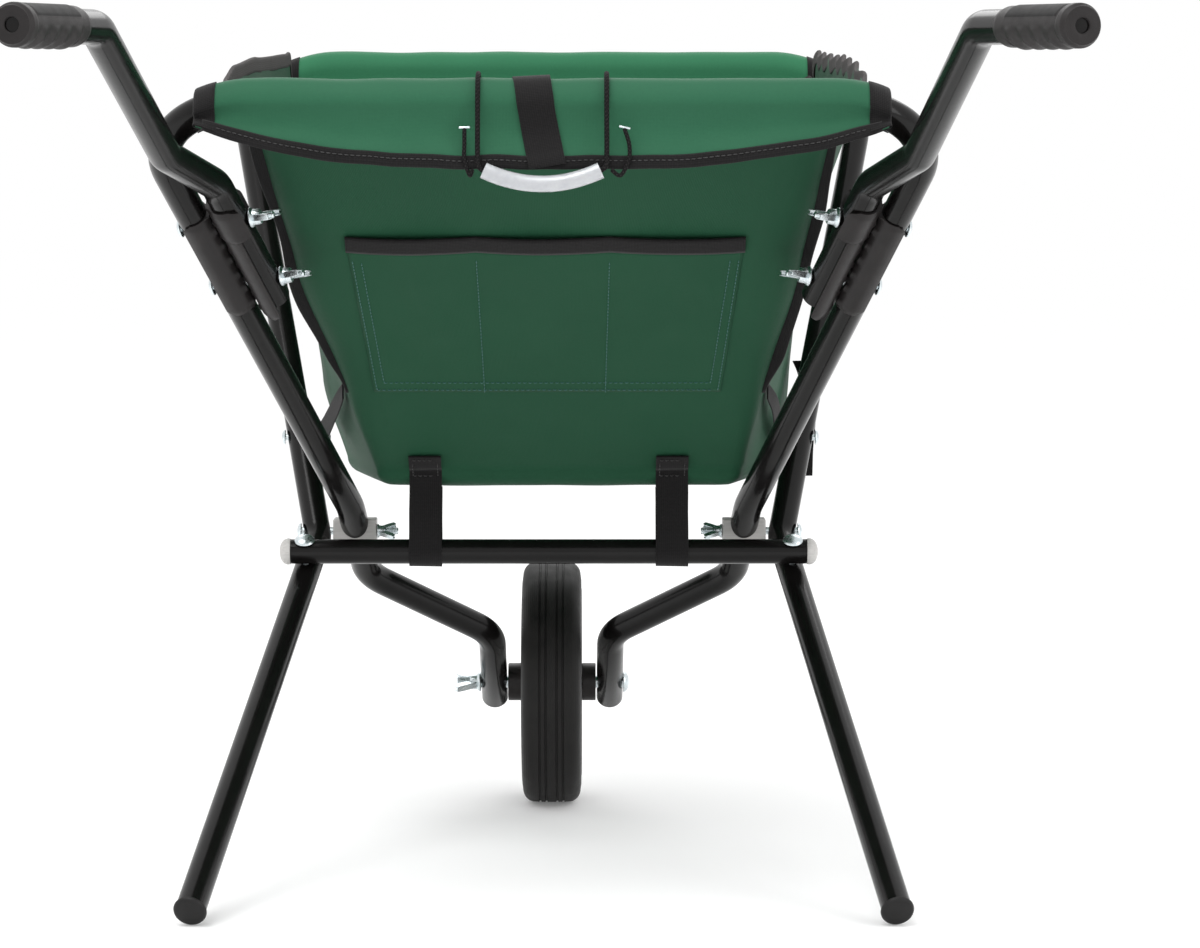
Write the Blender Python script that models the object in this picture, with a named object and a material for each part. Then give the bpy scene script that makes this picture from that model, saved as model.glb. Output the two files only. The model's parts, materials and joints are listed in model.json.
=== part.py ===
"""Folding garden barrow: two crossed tube frames, a fabric tub hung between them and one wheel.

Frame: +X right, +Y forward (towards the wheel), +Z up, origin on the floor under the middle.
The rear frame carries the handles and the wheel. The front frame carries the tub's front bar,
the crossbar and the legs, and folds about the two pivot bolts.
"""

import math

import bmesh
import bpy
from mathutils import Matrix, Vector

GAP = 0.0003

# Rear frame: one bent tube in a sloping plane, from the rear bar down to the wheel fork.
TUBE_R = 0.0110
TUBE_BORE = 0.0093
AXLE_Y = 0.3925
AXLE_Z = 0.1000
SLOPE = math.radians(36.4)
REAR_BAR_S = 0.779
REAR_CORNER_X = 0.276
REAR_CORNER_R = 0.063
PIVOT_S = 0.2375
SIDE_BEND = (0.1545, 0.274)
FORK_BEND_OUT = (0.1460, 0.173)
FORK_BEND_IN = (0.0485, 0.080)
FORK_X = 0.0480
FORK_END_S = -0.024

# Front frame: one bent tube, front bar, side tubes and legs.
FRONT_R = 0.0105
FRONT_BORE = 0.0089
FRONT_BAR = (0.5503, 0.6130)
FRONT_CORNER_X = 0.273
# What a flat seat needs beside a side tube that leans outwards.
LEAN_GAP = 0.0019
LEG_BEND = (0.1810, 0.1967, 0.2360)
LEG_END = (0.2430, -0.2034, 0.01066)
# How far the crossbar sits below the leg's bend, along the leg.
CROSSBAR_DOWN = 0.0498
# The height of the bolts that hold the tub's side ties.
ANCHOR_Z = 0.3110

# Handles.
# The two handles stand in their clamps as the photograph shows: the right one leans out more.
GRIP_END = ((0.3083, -0.5640, 0.5985), (0.3219, -0.5640, 0.5980))
HANDLE_UPPER = ((0.2749, -0.4300, 0.6035), (0.2749, -0.4300, 0.6035))
HANDLE_LOWER = (0.2520, -0.2470, 0.5274)
CLAMP_TOP_S = 0.682
CLAMP_LOW_S = 0.550
HANDLE_OFFSET = 0.0272
CLAMP_BOLT_S = (0.641, 0.571)
# How far a bolt's threaded end stands out past its wing nut.
THREAD_OUT = 0.0095
GRIP_LENGTH = 0.100
GRIP_R = 0.0128

# Crossbar, bolted to the rear side of the front frame.
CROSSBAR_R = 0.0095
CROSSBAR_HALF = 0.2000

# Wheel.
WHEEL_R = 0.100
TYRE_HALF = 0.0245
RIM_R = 0.0700
HUB_R = 0.0165

# Fabric.
HEM_HALF = 0.232
HEM_INNER = 0.0146
HEM_OUTER = 0.0170
WEB_WIDTH = 0.025
WEB_THICK = 0.0016

# Fabric tub: (y, z) points of its rear and front faces, seen from the side.
TUB_REAR_LOW = (0.1605, 0.2800)
TUB_REAR_MID = (-0.1795, 0.5600)
TUB_REAR_TOP = (-0.2128, 0.5740)
TUB_FRONT_LOW = (0.3355, 0.2800)
TUB_FRONT_TOP = (0.5303, 0.6040)
TUB_SHOULDER = 0.93
TUB_HALF_REAR = (0.1360, 0.2060)
TUB_HALF_FRONT = (0.1800, 0.2220)
TUB_WALL = 0.0030
POCKET_LOW = 0.275
POCKET_HIGH = 0.655


def clear_scene():
    for obj in list(bpy.data.objects):
        bpy.data.objects.remove(obj, do_unlink=True)


def make_material(name, colour, roughness, metallic=0.0):
    material = bpy.data.materials.new(name)
    material.use_nodes = True
    shader = material.node_tree.nodes["Principled BSDF"]
    shader.inputs["Base Color"].default_value = (*colour, 1.0)
    shader.inputs["Roughness"].default_value = roughness
    shader.inputs["Metallic"].default_value = metallic
    return material


# ---------------------------------------------------------------- paths and meshes


def rear_plane(x, s, n=0.0):
    """A point in the rear frame's plane: s up its slope from the axle, n in front of it."""
    y = AXLE_Y - s * math.cos(SLOPE) + n * math.sin(SLOPE)
    z = AXLE_Z + s * math.sin(SLOPE) + n * math.cos(SLOPE)
    return Vector((x, y, z))


def rounded_path(corners, radii, steps):
    """The polyline through corners with an arc of the given radius at each inner one."""
    corners = [Vector(c) for c in corners]
    path = [corners[0]]
    for before, corner, after, radius, count in zip(
        corners, corners[1:], corners[2:], radii, steps
    ):
        to_before = (before - corner).normalized()
        to_after = (after - corner).normalized()
        half = to_before.angle(to_after) / 2
        reach = radius / math.tan(half)
        centre = corner + (to_before + to_after).normalized() * (radius / math.sin(half))
        start = corner + to_before * reach - centre
        end = corner + to_after * reach - centre
        turn = start.angle(end)
        for i in range(count + 1):
            t = i / count
            a = math.sin((1 - t) * turn) / math.sin(turn)
            b = math.sin(t * turn) / math.sin(turn)
            path.append(centre + start * a + end * b)
    path.append(corners[-1])
    return path


def sweep_rings(bm, path, radii, sides, up=None):
    """Rings of vertices across a path, turned as little as possible from one to the next."""
    count = len(path)
    tangents = []
    for i in range(count):
        a = path[max(i - 1, 0)]
        b = path[min(i + 1, count - 1)]
        if 0 < i < count - 1:
            step = (path[i] - a).normalized() + (b - path[i]).normalized()
        else:
            step = b - a
        tangents.append(step.normalized())
    normal = up or Vector((0, 0, 1))
    if abs(normal.dot(tangents[0])) > 0.9:
        normal = Vector((0, 1, 0))
    rings = []
    for i in range(count):
        normal = (normal - tangents[i] * normal.dot(tangents[i])).normalized()
        side = tangents[i].cross(normal)
        ring = []
        for k in range(sides):
            angle = 2 * math.pi * (k + 0.5) / sides
            offset = normal * math.cos(angle) + side * math.sin(angle)
            ring.append(bm.verts.new(path[i] + offset * radii[i]))
        rings.append(ring)
    return rings


def bridge(bm, first, second):
    count = len(first)
    for k in range(count):
        after = (k + 1) % count
        bm.faces.new((first[k], first[after], second[after], second[k]))


def finish(name, bm, material, origin=None, smooth=40.0):
    """Turns the bmesh, held in world coordinates, into an object with the given origin."""
    bmesh.ops.recalc_face_normals(bm, faces=bm.faces)
    mesh = bpy.data.meshes.new(name)
    bm.to_mesh(mesh)
    bm.free()
    obj = bpy.data.objects.new(name, mesh)
    bpy.context.scene.collection.objects.link(obj)
    if origin is not None:
        mesh.transform(Matrix.Translation(-Vector(origin)))
        obj.location = origin
    mesh.materials.append(material)
    mesh.shade_smooth()
    mesh.set_sharp_from_angle(angle=math.radians(smooth))
    return obj


def rod(name, path, radius, sides, material, origin=None, cap_ends=0.0):
    """A solid round bar along a path. cap_ends rounds both ends over that length."""
    path = [Vector(p) for p in path]
    radii = [radius] * len(path)
    if cap_ends:
        first = (path[0] - path[1]).normalized()
        last = (path[-1] - path[-2]).normalized()
        extra_first = []
        extra_last = []
        for angle in (35, 65):
            a = math.radians(angle)
            extra_first.append((path[0] + first * cap_ends * math.sin(a), radius * math.cos(a)))
            extra_last.append((path[-1] + last * cap_ends * math.sin(a), radius * math.cos(a)))
        path = [p for p, _ in reversed(extra_first)] + path + [p for p, _ in extra_last]
        radii = [r for _, r in reversed(extra_first)] + radii + [r for _, r in extra_last]
    bm = bmesh.new()
    rings = sweep_rings(bm, path, radii, sides)
    for a, b in zip(rings, rings[1:]):
        bridge(bm, a, b)
    bm.faces.new(rings[0])
    bm.faces.new(rings[-1])
    return finish(name, bm, material, origin)


def pipe(name, path, radius, bore, sides, material, origin=None):
    """A hollow tube along a path, open at both ends. Its bore has half as many sides."""
    path = [Vector(p) for p in path]
    inner_sides = sides // 2
    bm = bmesh.new()
    outer = sweep_rings(bm, path, [radius] * len(path), sides)
    inner = sweep_rings(bm, path, [bore] * len(path), inner_sides)
    for a, b in zip(outer, outer[1:]):
        bridge(bm, a, b)
    for a, b in zip(inner, inner[1:]):
        bridge(bm, a, b)
    for ring, hole in ((outer[0], inner[0]), (outer[-1], inner[-1])):
        for k in range(inner_sides):
            after = (k + 1) % inner_sides
            near, mid, far = ring[2 * k], ring[2 * k + 1], ring[(2 * k + 2) % sides]
            bm.faces.new((near, mid, hole[k]))
            bm.faces.new((mid, far, hole[after], hole[k]))
    return finish(name, bm, material, origin)


def turned(name, profile, centre, axis, segments, material, origin=None, closed=False):
    """A shape turned about an axis. Profile points are (along the axis, radius)."""
    axis = Vector(axis).normalized()
    helper = Vector((0, 0, 1)) if abs(axis.z) < 0.9 else Vector((0, 1, 0))
    u = axis.cross(helper).normalized()
    v = axis.cross(u)
    centre = Vector(centre)
    bm = bmesh.new()
    add_turned(bm, profile, centre, axis, u, v, segments, closed)
    return finish(name, bm, material, origin)


def add_turned(bm, profile, centre, axis, u, v, segments, closed=False):
    rings = []
    for along, radius in profile:
        if radius < 1e-6:
            rings.append([bm.verts.new(centre + axis * along)])
            continue
        ring = []
        for k in range(segments):
            angle = 2 * math.pi * k / segments
            spoke = u * math.cos(angle) + v * math.sin(angle)
            ring.append(bm.verts.new(centre + axis * along + spoke * radius))
        rings.append(ring)
    pairs = list(zip(rings, rings[1:]))
    if closed:
        pairs.append((rings[-1], rings[0]))
    for a, b in pairs:
        if len(a) == 1 or len(b) == 1:
            tip, ring = (a[0], b) if len(a) == 1 else (b[0], a)
            for k in range(segments):
                bm.faces.new((tip, ring[k], ring[(k + 1) % segments]))
        else:
            bridge(bm, a, b)
    if not closed:
        for ring in (rings[0], rings[-1]):
            if len(ring) > 1:
                bm.faces.new(ring)


def extruded(name, outline, axis_u, axis_v, axis_w, centre, lengths, material, origin=None):
    """A flat outline of (u, v) points pushed along w between the two lengths."""
    bm = bmesh.new()
    add_extruded(bm, outline, axis_u, axis_v, axis_w, centre, lengths)
    return finish(name, bm, material, origin, smooth=30.0)


def add_extruded(bm, outline, axis_u, axis_v, axis_w, centre, lengths):
    axis_u, axis_v, axis_w = Vector(axis_u), Vector(axis_v), Vector(axis_w)
    centre = Vector(centre)
    rings = []
    for length in lengths:
        base = centre + axis_w * length
        rings.append([bm.verts.new(base + axis_u * a + axis_v * b) for a, b in outline])
    for a, b in zip(rings, rings[1:]):
        bridge(bm, a, b)
    bm.faces.new(rings[0])
    bm.faces.new(rings[-1])


def cut(obj, name, centre, axis, radius, length, sides=12):
    """Bores a round hole with a Boolean whose cutter stays out of the render."""
    half = length / 2
    cutter = turned(
        name, [(-half, radius), (half, radius)], centre, axis, sides, PLAIN, None
    )
    cutter.hide_render = True
    cutter.display_type = "WIRE"
    modifier = obj.modifiers.new(name, "BOOLEAN")
    modifier.operation = "DIFFERENCE"
    modifier.solver = "EXACT"
    modifier.object = cutter
    return cutter


def mirrored(point, side):
    return Vector((point[0] * side, point[1], point[2]))


def sides():
    return (("left", -1), ("right", 1))


# ---------------------------------------------------------------- fasteners


def basis(axis, twist=0.0):
    """Three unit axes with w along the given one; u turned by twist about it."""
    w = Vector(axis).normalized()
    helper = Vector((0, 0, 1)) if abs(w.z) < 0.9 else Vector((0, 1, 0))
    u = w.cross(helper).normalized()
    u = Matrix.Rotation(twist, 3, w) @ u
    return u, w.cross(u), w


def bolt(name, seat, axis, shank, length, head_r, head_h, origin=None):
    """A domed bolt from its head's seat: the shank runs along the axis, the head behind it."""
    profile = [
        (-head_h, 0.0),
        (-head_h * 0.86, head_r * 0.5),
        (-head_h * 0.45, head_r * 0.88),
        (0.0, head_r),
        (0.0, shank),
        (length, shank),
    ]
    turned(name, profile, seat, axis, 12, ZINC, origin)


def hex_nut(name, seat, axis, corner_r, height, bore, origin=None):
    """A hexagon nut standing on its seat, with a round bore."""
    u, v, w = basis(axis)
    bm = bmesh.new()
    loops = []
    for outer, along in ((True, 0.0), (True, height), (False, height), (False, 0.0)):
        loop = []
        for k in range(12):
            angle = 2 * math.pi * k / 12
            flat = 1.0 if k % 2 == 0 else math.cos(math.pi / 6)
            radius = corner_r * flat if outer else bore
            spoke = u * math.cos(angle) + v * math.sin(angle)
            loop.append(bm.verts.new(Vector(seat) + spoke * radius + w * along))
        loops.append(loop)
    for a, b in zip(loops, loops[1:] + loops[:1]):
        bridge(bm, a, b)
    return finish(name, bm, ZINC, origin, smooth=25.0)


def wing_nut(name, seat, axis, twist, bore, origin=None, scale=1.0):
    """A wing nut standing on its seat: a tapered hub with a bore, and two flared blades."""
    u, v, w = basis(axis, twist)
    seat = Vector(seat)
    height = 0.0075 * scale
    count = 12
    bm = bmesh.new()
    loops = []
    for radius, along in (
        (0.0056 * scale, 0.0),
        (0.0050 * scale, height),
        (bore, height),
        (bore, 0.0),
    ):
        loop = []
        for k in range(count):
            angle = 2 * math.pi * (k + 0.5) / count
            spoke = u * math.cos(angle) + v * math.sin(angle)
            loop.append(bm.verts.new(seat + spoke * radius + w * along))
        loops.append(loop)
    for a, b in ((1, 2), (2, 3), (3, 0)):
        bridge(bm, loops[a], loops[b])
    lower, upper = loops[0], loops[1]
    for k in range(count):
        after = (k + 1) % count
        quad = (lower[k], lower[after], upper[after], upper[k])
        if k in (5, 11):
            add_blade(bm, quad, u if k == 11 else -u, v, w, seat, 0.0013 * scale, scale)
        else:
            bm.faces.new(quad)
    return finish(name, bm, ZINC, origin, smooth=35.0)


def add_blade(bm, root, out, across, up, seat, half, scale):
    """A wing grown from one face of the hub: three sections out to a rounded tip."""
    stations = ((0.0090, 0.0030, 0.0105), (0.0118, 0.0068, 0.0142), (0.0132, 0.0098, 0.0142))
    a, b, c, d = root
    side_first = 1 if (a.co - seat).dot(across) > 0 else -1
    ring = [a, b, c, d]
    for reach, low, high in stations:
        base = seat + out * reach * scale
        grown = [
            bm.verts.new(base + across * half * side_first + up * low * scale),
            bm.verts.new(base - across * half * side_first + up * low * scale),
            bm.verts.new(base - across * half * side_first + up * high * scale),
            bm.verts.new(base + across * half * side_first + up * high * scale),
        ]
        bridge(bm, ring, grown)
        ring = grown
    bm.faces.new(ring)


# ---------------------------------------------------------------- rear frame and handles


def rear_frame_side_x(s):
    """Half the distance between the side tubes' centres at a height s up the slope."""
    share = (s - SIDE_BEND[1]) / (REAR_BAR_S - SIDE_BEND[1])
    return SIDE_BEND[0] + (REAR_CORNER_X - SIDE_BEND[0]) * share


def rear_frame_path():
    half = [
        (FORK_X, FORK_END_S),
        FORK_BEND_IN,
        FORK_BEND_OUT,
        SIDE_BEND,
        (REAR_CORNER_X, REAR_BAR_S),
    ]
    corners = [rear_plane(-x, s) for x, s in half] + [rear_plane(x, s) for x, s in reversed(half)]
    radii = [0.042, 0.045, 0.10, REAR_CORNER_R]
    steps = [4, 4, 2, 7]
    return rounded_path(corners, radii + radii[::-1], steps + steps[::-1])


def side_direction(side):
    """Unit vector down the rear frame's side tube."""
    top = rear_plane(REAR_CORNER_X * side, REAR_BAR_S)
    low = rear_plane(SIDE_BEND[0] * side, SIDE_BEND[1])
    return (low - top).normalized()


def clamp_axes(side):
    """Axes at a handle clamp: inboard across the tubes, out of the frame's plane, and down."""
    down = side_direction(side)
    plane_normal = Vector((0, math.sin(SLOPE), math.cos(SLOPE)))
    inboard = plane_normal.cross(down).normalized()
    if inboard.x * side > 0:
        inboard = -inboard
    return inboard, plane_normal, down


def tube_point(side, s):
    return rear_plane(rear_frame_side_x(s) * side, s)


def handle_end(side):
    """The middle of a grip's end face, and the elbow between its grip and its sloping part."""
    which = 0 if side < 0 else 1
    return mirrored(GRIP_END[which], side), mirrored(HANDLE_UPPER[which], side)


def handle_path(side):
    inboard, _, _ = clamp_axes(side)
    end, elbow = handle_end(side)
    toward = (elbow - end).normalized()
    corners = [
        end + toward * 0.0030,
        elbow,
        mirrored(HANDLE_LOWER, side),
        tube_point(side, CLAMP_TOP_S) + inboard * HANDLE_OFFSET,
        tube_point(side, CLAMP_LOW_S) + inboard * HANDLE_OFFSET,
    ]
    return rounded_path(corners, [0.040, 0.045, 0.035], [5, 4, 4])


def saddle_outline(reach, wrap, grip_r, half_height):
    """A saddle's section: flat on the side away from the tube, hollow round the tube."""
    points = [(wrap, half_height), (reach - 0.0025, half_height), (reach, half_height - 0.0025)]
    points += [(reach, -half_height + 0.0025), (reach - 0.0025, -half_height)]
    points += [(wrap, -half_height)]
    start = math.acos(max(-1.0, min(1.0, wrap / grip_r)))
    count = 8
    for k in range(count + 1):
        angle = -start + 2 * start * k / count
        points.append((grip_r * math.cos(angle), grip_r * math.sin(angle)))
    return points


def build_rear_frame():
    frame = pipe("rear_frame_tube", rear_frame_path(), TUBE_R, TUBE_BORE, 16, GLOSS)
    cut(frame, "axle_hole_cutter", rear_plane(0, 0), (1, 0, 0), 0.0054, 0.16)
    for word, side in sides():
        pivot = rear_plane(0.153 * side, PIVOT_S)
        cut(frame, "rear_pivot_cutter_" + word, pivot, (1, 0, 0), 0.0036, 0.05)
        inboard, _, _ = clamp_axes(side)
        for index, s in enumerate(CLAMP_BOLT_S):
            centre = tube_point(side, s)
            cut(frame, "frame_clamp_cutter_%s_%d" % (word, index), centre, inboard, 0.0034, 0.03)


def build_handles():
    for word, side in sides():
        handle = pipe("handle_tube_" + word, handle_path(side), TUBE_R, TUBE_BORE, 16, GLOSS)
        inboard, normal, down = clamp_axes(side)
        for index, s in enumerate(CLAMP_BOLT_S):
            centre = tube_point(side, s) + inboard * HANDLE_OFFSET
            cut(handle, "handle_clamp_cutter_%s_%d" % (word, index), centre, inboard, 0.0034, 0.03)
        mid = HANDLE_OFFSET / 2 - GAP / 2
        frame_s = (0.655, 0.548)
        handle_s = (0.664, 0.536)
        for kind, spans, sense, base in (
            ("frame", frame_s, 1, 0.0),
            ("handle", handle_s, -1, HANDLE_OFFSET),
        ):
            top = tube_point(side, spans[0]) + inboard * base
            low = tube_point(side, spans[1]) + inboard * base
            length = (low - top).length
            outline = saddle_outline(mid, -0.0010, TUBE_R + 0.0005, 0.0128)
            saddle = extruded(
                "clamp_saddle_%s_%s" % (kind, word),
                outline,
                inboard * sense,
                normal,
                down,
                top,
                (0.0, 0.004, length - 0.004, length),
                PLASTIC,
            )
            for index, s in enumerate(CLAMP_BOLT_S):
                name = "%s_saddle_cutter_%s_%d" % (kind, word, index)
                cut(saddle, name, tube_point(side, s) + inboard * mid, inboard, 0.0034, 0.04)
        build_clamp_fasteners(word, side, inboard)
        build_grip(word, side)


def build_clamp_fasteners(word, side, inboard):
    nut_height = 0.0086
    reach = TUBE_R * 2 + HANDLE_OFFSET + nut_height + THREAD_OUT
    for level, s, twist in zip(("upper", "lower"), CLAMP_BOLT_S, (40, 12)):
        centre = tube_point(side, s)
        seat = centre - inboard * (TUBE_R + GAP)
        bolt("clamp_bolt_%s_%s" % (level, word), seat, inboard, 0.0030, reach, 0.0068, 0.0034)
        stand = centre + inboard * (HANDLE_OFFSET + TUBE_R + GAP)
        name = "clamp_wing_nut_%s_%s" % (level, word)
        wing_nut(name, stand, inboard, math.radians(twist * side), 0.0033, scale=1.15)


def build_grip(word, side):
    """A moulded grip: round with a flat-topped palm and four finger ridges below."""
    end, elbow = handle_end(side)
    toward = (elbow - end).normalized()
    up = (Vector((0, 0, 1)) - toward * toward.z).normalized()
    across = toward.cross(up)
    stations = [(0.0, 0.90, 0.0), (0.0025, 1.0, 0.0), (0.0105, 1.0, 0.0)]
    for ridge in range(4):
        start = 0.0130 + 0.0180 * ridge
        stations.append((start, 0.95, 0.3))
        stations.append((start + 0.0090, 1.05, 1.0))
    stations.append((0.0855, 0.95, 0.3))
    stations.append((GRIP_LENGTH - 0.006, 1.0, 0.0))
    stations.append((GRIP_LENGTH, 0.95, 0.0))
    bm = bmesh.new()
    count = 20
    outer = []
    for along, scale, swell in stations:
        ring = []
        for k in range(count):
            angle = 2 * math.pi * k / count
            radius = GRIP_R * scale
            below = max(0.0, -math.sin(angle))
            radius += 0.0012 * swell * below
            offset = across * math.cos(angle) * radius + up * math.sin(angle) * radius
            ring.append(bm.verts.new(end + toward * along + offset))
        outer.append(ring)
    inner = []
    for along, radius in (
        (GRIP_LENGTH, TUBE_R + 0.0005),
        (0.0025 - GAP, TUBE_R + 0.0005),
        (0.0025 - GAP, 0.0045),
        (0.0, 0.0045),
    ):
        ring = []
        for k in range(count):
            angle = 2 * math.pi * k / count
            offset = across * math.cos(angle) * radius + up * math.sin(angle) * radius
            ring.append(bm.verts.new(end + toward * along + offset))
        inner.append(ring)
    loops = outer + inner
    for a, b in zip(loops, loops[1:] + loops[:1]):
        bridge(bm, a, b)
    finish("grip_" + word, bm, RUBBER, smooth=50.0)


# ---------------------------------------------------------------- pivots and front frame


def front_side_point(side, z):
    """The centre of the front frame's side tube at a height z above the leg bend."""
    share = (z - LEG_BEND[2]) / (FRONT_BAR[1] - LEG_BEND[2])
    x = LEG_BEND[0] + (FRONT_CORNER_X - LEG_BEND[0]) * share
    y = LEG_BEND[1] + (FRONT_BAR[0] - LEG_BEND[1]) * share
    return Vector((x * side, y, z))


def pivot_centre():
    """Where the two frames' side tubes cross, seen from the side."""
    return rear_plane(0.0, PIVOT_S)


def front_frame_path():
    corners = []
    for side in (-1, 1):
        half = [
            mirrored(LEG_END, side),
            mirrored(LEG_BEND, side),
            Vector((FRONT_CORNER_X * side, FRONT_BAR[0], FRONT_BAR[1])),
        ]
        corners += half if side < 0 else half[::-1]
    return rounded_path(corners, [0.035, 0.070, 0.070, 0.035], [3, 7, 7, 3])


def crossbar_frame():
    """The crossbar's centre, the point of the leg under it and the bolts' direction."""
    bend, end = Vector(LEG_BEND), Vector(LEG_END)
    down = (end - bend).normalized()
    flat = Vector((0, down.y, down.z)).normalized()
    rearward = Vector((0, flat.z, -flat.y))
    seat = bend + down * (CROSSBAR_DOWN / math.hypot(down.y, down.z))
    centre = Vector((0, seat.y, seat.z)) + rearward * (FRONT_R + CROSSBAR_R + 0.0006)
    return centre, seat, rearward


def build_front_frame():
    pivot = pivot_centre()
    frame = pipe("front_frame_tube", front_frame_path(), FRONT_R, FRONT_BORE, 16, GLOSS, pivot)
    centre, seat, rearward = crossbar_frame()
    bar = pipe(
        "crossbar_tube",
        [centre - Vector((CROSSBAR_HALF, 0, 0)), centre + Vector((CROSSBAR_HALF, 0, 0))],
        CROSSBAR_R,
        CROSSBAR_R - 0.0013,
        16,
        GLOSS,
        pivot,
    )
    for word, side in sides():
        at_side = Vector((seat.x * side, centre.y, centre.z))
        cut(frame, "front_pivot_cutter_" + word, (0.185 * side, pivot.y, pivot.z), (1, 0, 0), 0.0036, 0.05)
        cut(frame, "front_bolt_cutter_" + word, at_side, rearward, 0.0033, 0.08)
        cut(bar, "crossbar_bolt_cutter_" + word, at_side, rearward, 0.0033, 0.03)
        anchor = front_side_point(side, ANCHOR_Z)
        cut(frame, "anchor_cutter_" + word, anchor, (1, 0, 0), 0.0029, 0.04)
        head = at_side + rearward * (CROSSBAR_R + 2 * GAP)
        length = 2 * CROSSBAR_R + 2 * FRONT_R + 0.0085
        bolt("crossbar_bolt_" + word, head, -rearward, 0.0030, length, 0.0075, 0.0036, pivot)
        nut_seat = at_side - rearward * (CROSSBAR_R + 2 * FRONT_R + 0.0006 + 2 * GAP)
        hex_nut("crossbar_nut_" + word, nut_seat, -rearward, 0.0058, 0.0050, 0.0034, pivot)
        cap_x = (CROSSBAR_HALF + GAP) * side
        cap = [(0.0, CROSSBAR_R), (0.0022, CROSSBAR_R), (0.0050, CROSSBAR_R * 0.78)]
        cap += [(0.0068, CROSSBAR_R * 0.42), (0.0074, 0.0)]
        cap_centre = centre + Vector((cap_x, 0, 0))
        turned("crossbar_cap_" + word, cap, cap_centre, (side, 0, 0), 16, CAP_GREY, pivot)
        build_foot(word, side, pivot)
        build_anchor(word, side, anchor, pivot)


def build_foot(word, side, pivot):
    """A plastic plug in the leg's end, with a rim that stands on the floor."""
    end = mirrored(LEG_END, side)
    up = (mirrored(LEG_BEND, side) - end).normalized()
    plug = FRONT_BORE - 0.0009
    profile = [
        (-0.0030, 0.0),
        (-0.0030, 0.0100),
        (-0.0016, 0.0113),
        (-GAP, 0.0113),
        (-GAP, plug),
        (0.0120, plug),
        (0.0120, 0.0),
    ]
    turned("foot_cap_" + word, profile, end, up, 16, PLASTIC, pivot)


def build_anchor(word, side, anchor, pivot):
    """The bolt through the front side tube that holds the tub's side strap."""
    outboard = Vector((side, 0, 0))
    spacer = [(0.0, 0.0075), (0.0040, 0.0075), (0.0040, 0.0031), (0.0, 0.0031)]
    start = anchor - outboard * (FRONT_R + LEAN_GAP)
    turned("anchor_spacer_" + word, spacer, start, -outboard, 14, PLASTIC, pivot, closed=True)
    head = anchor + outboard * (FRONT_R + LEAN_GAP)
    length = 2 * FRONT_R + 0.0150
    bolt("anchor_bolt_" + word, head, -outboard, 0.0026, length, 0.0060, 0.0030, pivot)
    seat = start - outboard * (0.0040 + WEB_THICK + 3 * GAP)
    hex_nut("anchor_nut_" + word, seat, -outboard, 0.0053, 0.0042, 0.0030, pivot)


def build_pivots():
    pivot = pivot_centre()
    front_x = front_side_point(1, pivot.z).x
    for word, side in sides():
        outline = [(-0.0120, -0.0095), (0.0120, -0.0095), (0.0120, 0.0100), (-0.0120, 0.0100)]
        outer = front_x - FRONT_R - 0.0026
        inner = outer - 0.0335
        block = extruded(
            "pivot_block_" + word,
            outline,
            (0, 1, 0),
            (0, 0, 1),
            (side, 0, 0),
            pivot,
            (inner, outer),
            CAP_GREY,
        )
        tube_low = rear_plane(FORK_BEND_OUT[0] * side, FORK_BEND_OUT[1])
        tube_high = rear_plane(SIDE_BEND[0] * side, SIDE_BEND[1])
        down = (tube_low - tube_high).normalized()
        share = (PIVOT_S - FORK_BEND_OUT[1]) / (SIDE_BEND[1] - FORK_BEND_OUT[1])
        tube_x = FORK_BEND_OUT[0] + (SIDE_BEND[0] - FORK_BEND_OUT[0]) * share
        channel = rear_plane(tube_x * side, PIVOT_S)
        cut(block, "block_tube_cutter_" + word, channel, down, TUBE_R + 0.0007, 0.09, 16)
        cut(block, "block_bolt_cutter_" + word, channel, (1, 0, 0), 0.0036, 0.08)
        seat = Vector(((front_x + FRONT_R + LEAN_GAP) * side, pivot.y, pivot.z))
        length = outer - inner + 2 * FRONT_R + LEAN_GAP + 0.0101 + THREAD_OUT
        inward = (-side, 0, 0)
        bolt("pivot_bolt_" + word, seat, inward, 0.0030, length, 0.0062, 0.0034)
        stand = Vector(((inner - GAP) * side, pivot.y, pivot.z))
        wing_nut("pivot_wing_nut_" + word, stand, inward, math.radians(62), 0.0033)


# ---------------------------------------------------------------- wheel


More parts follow.
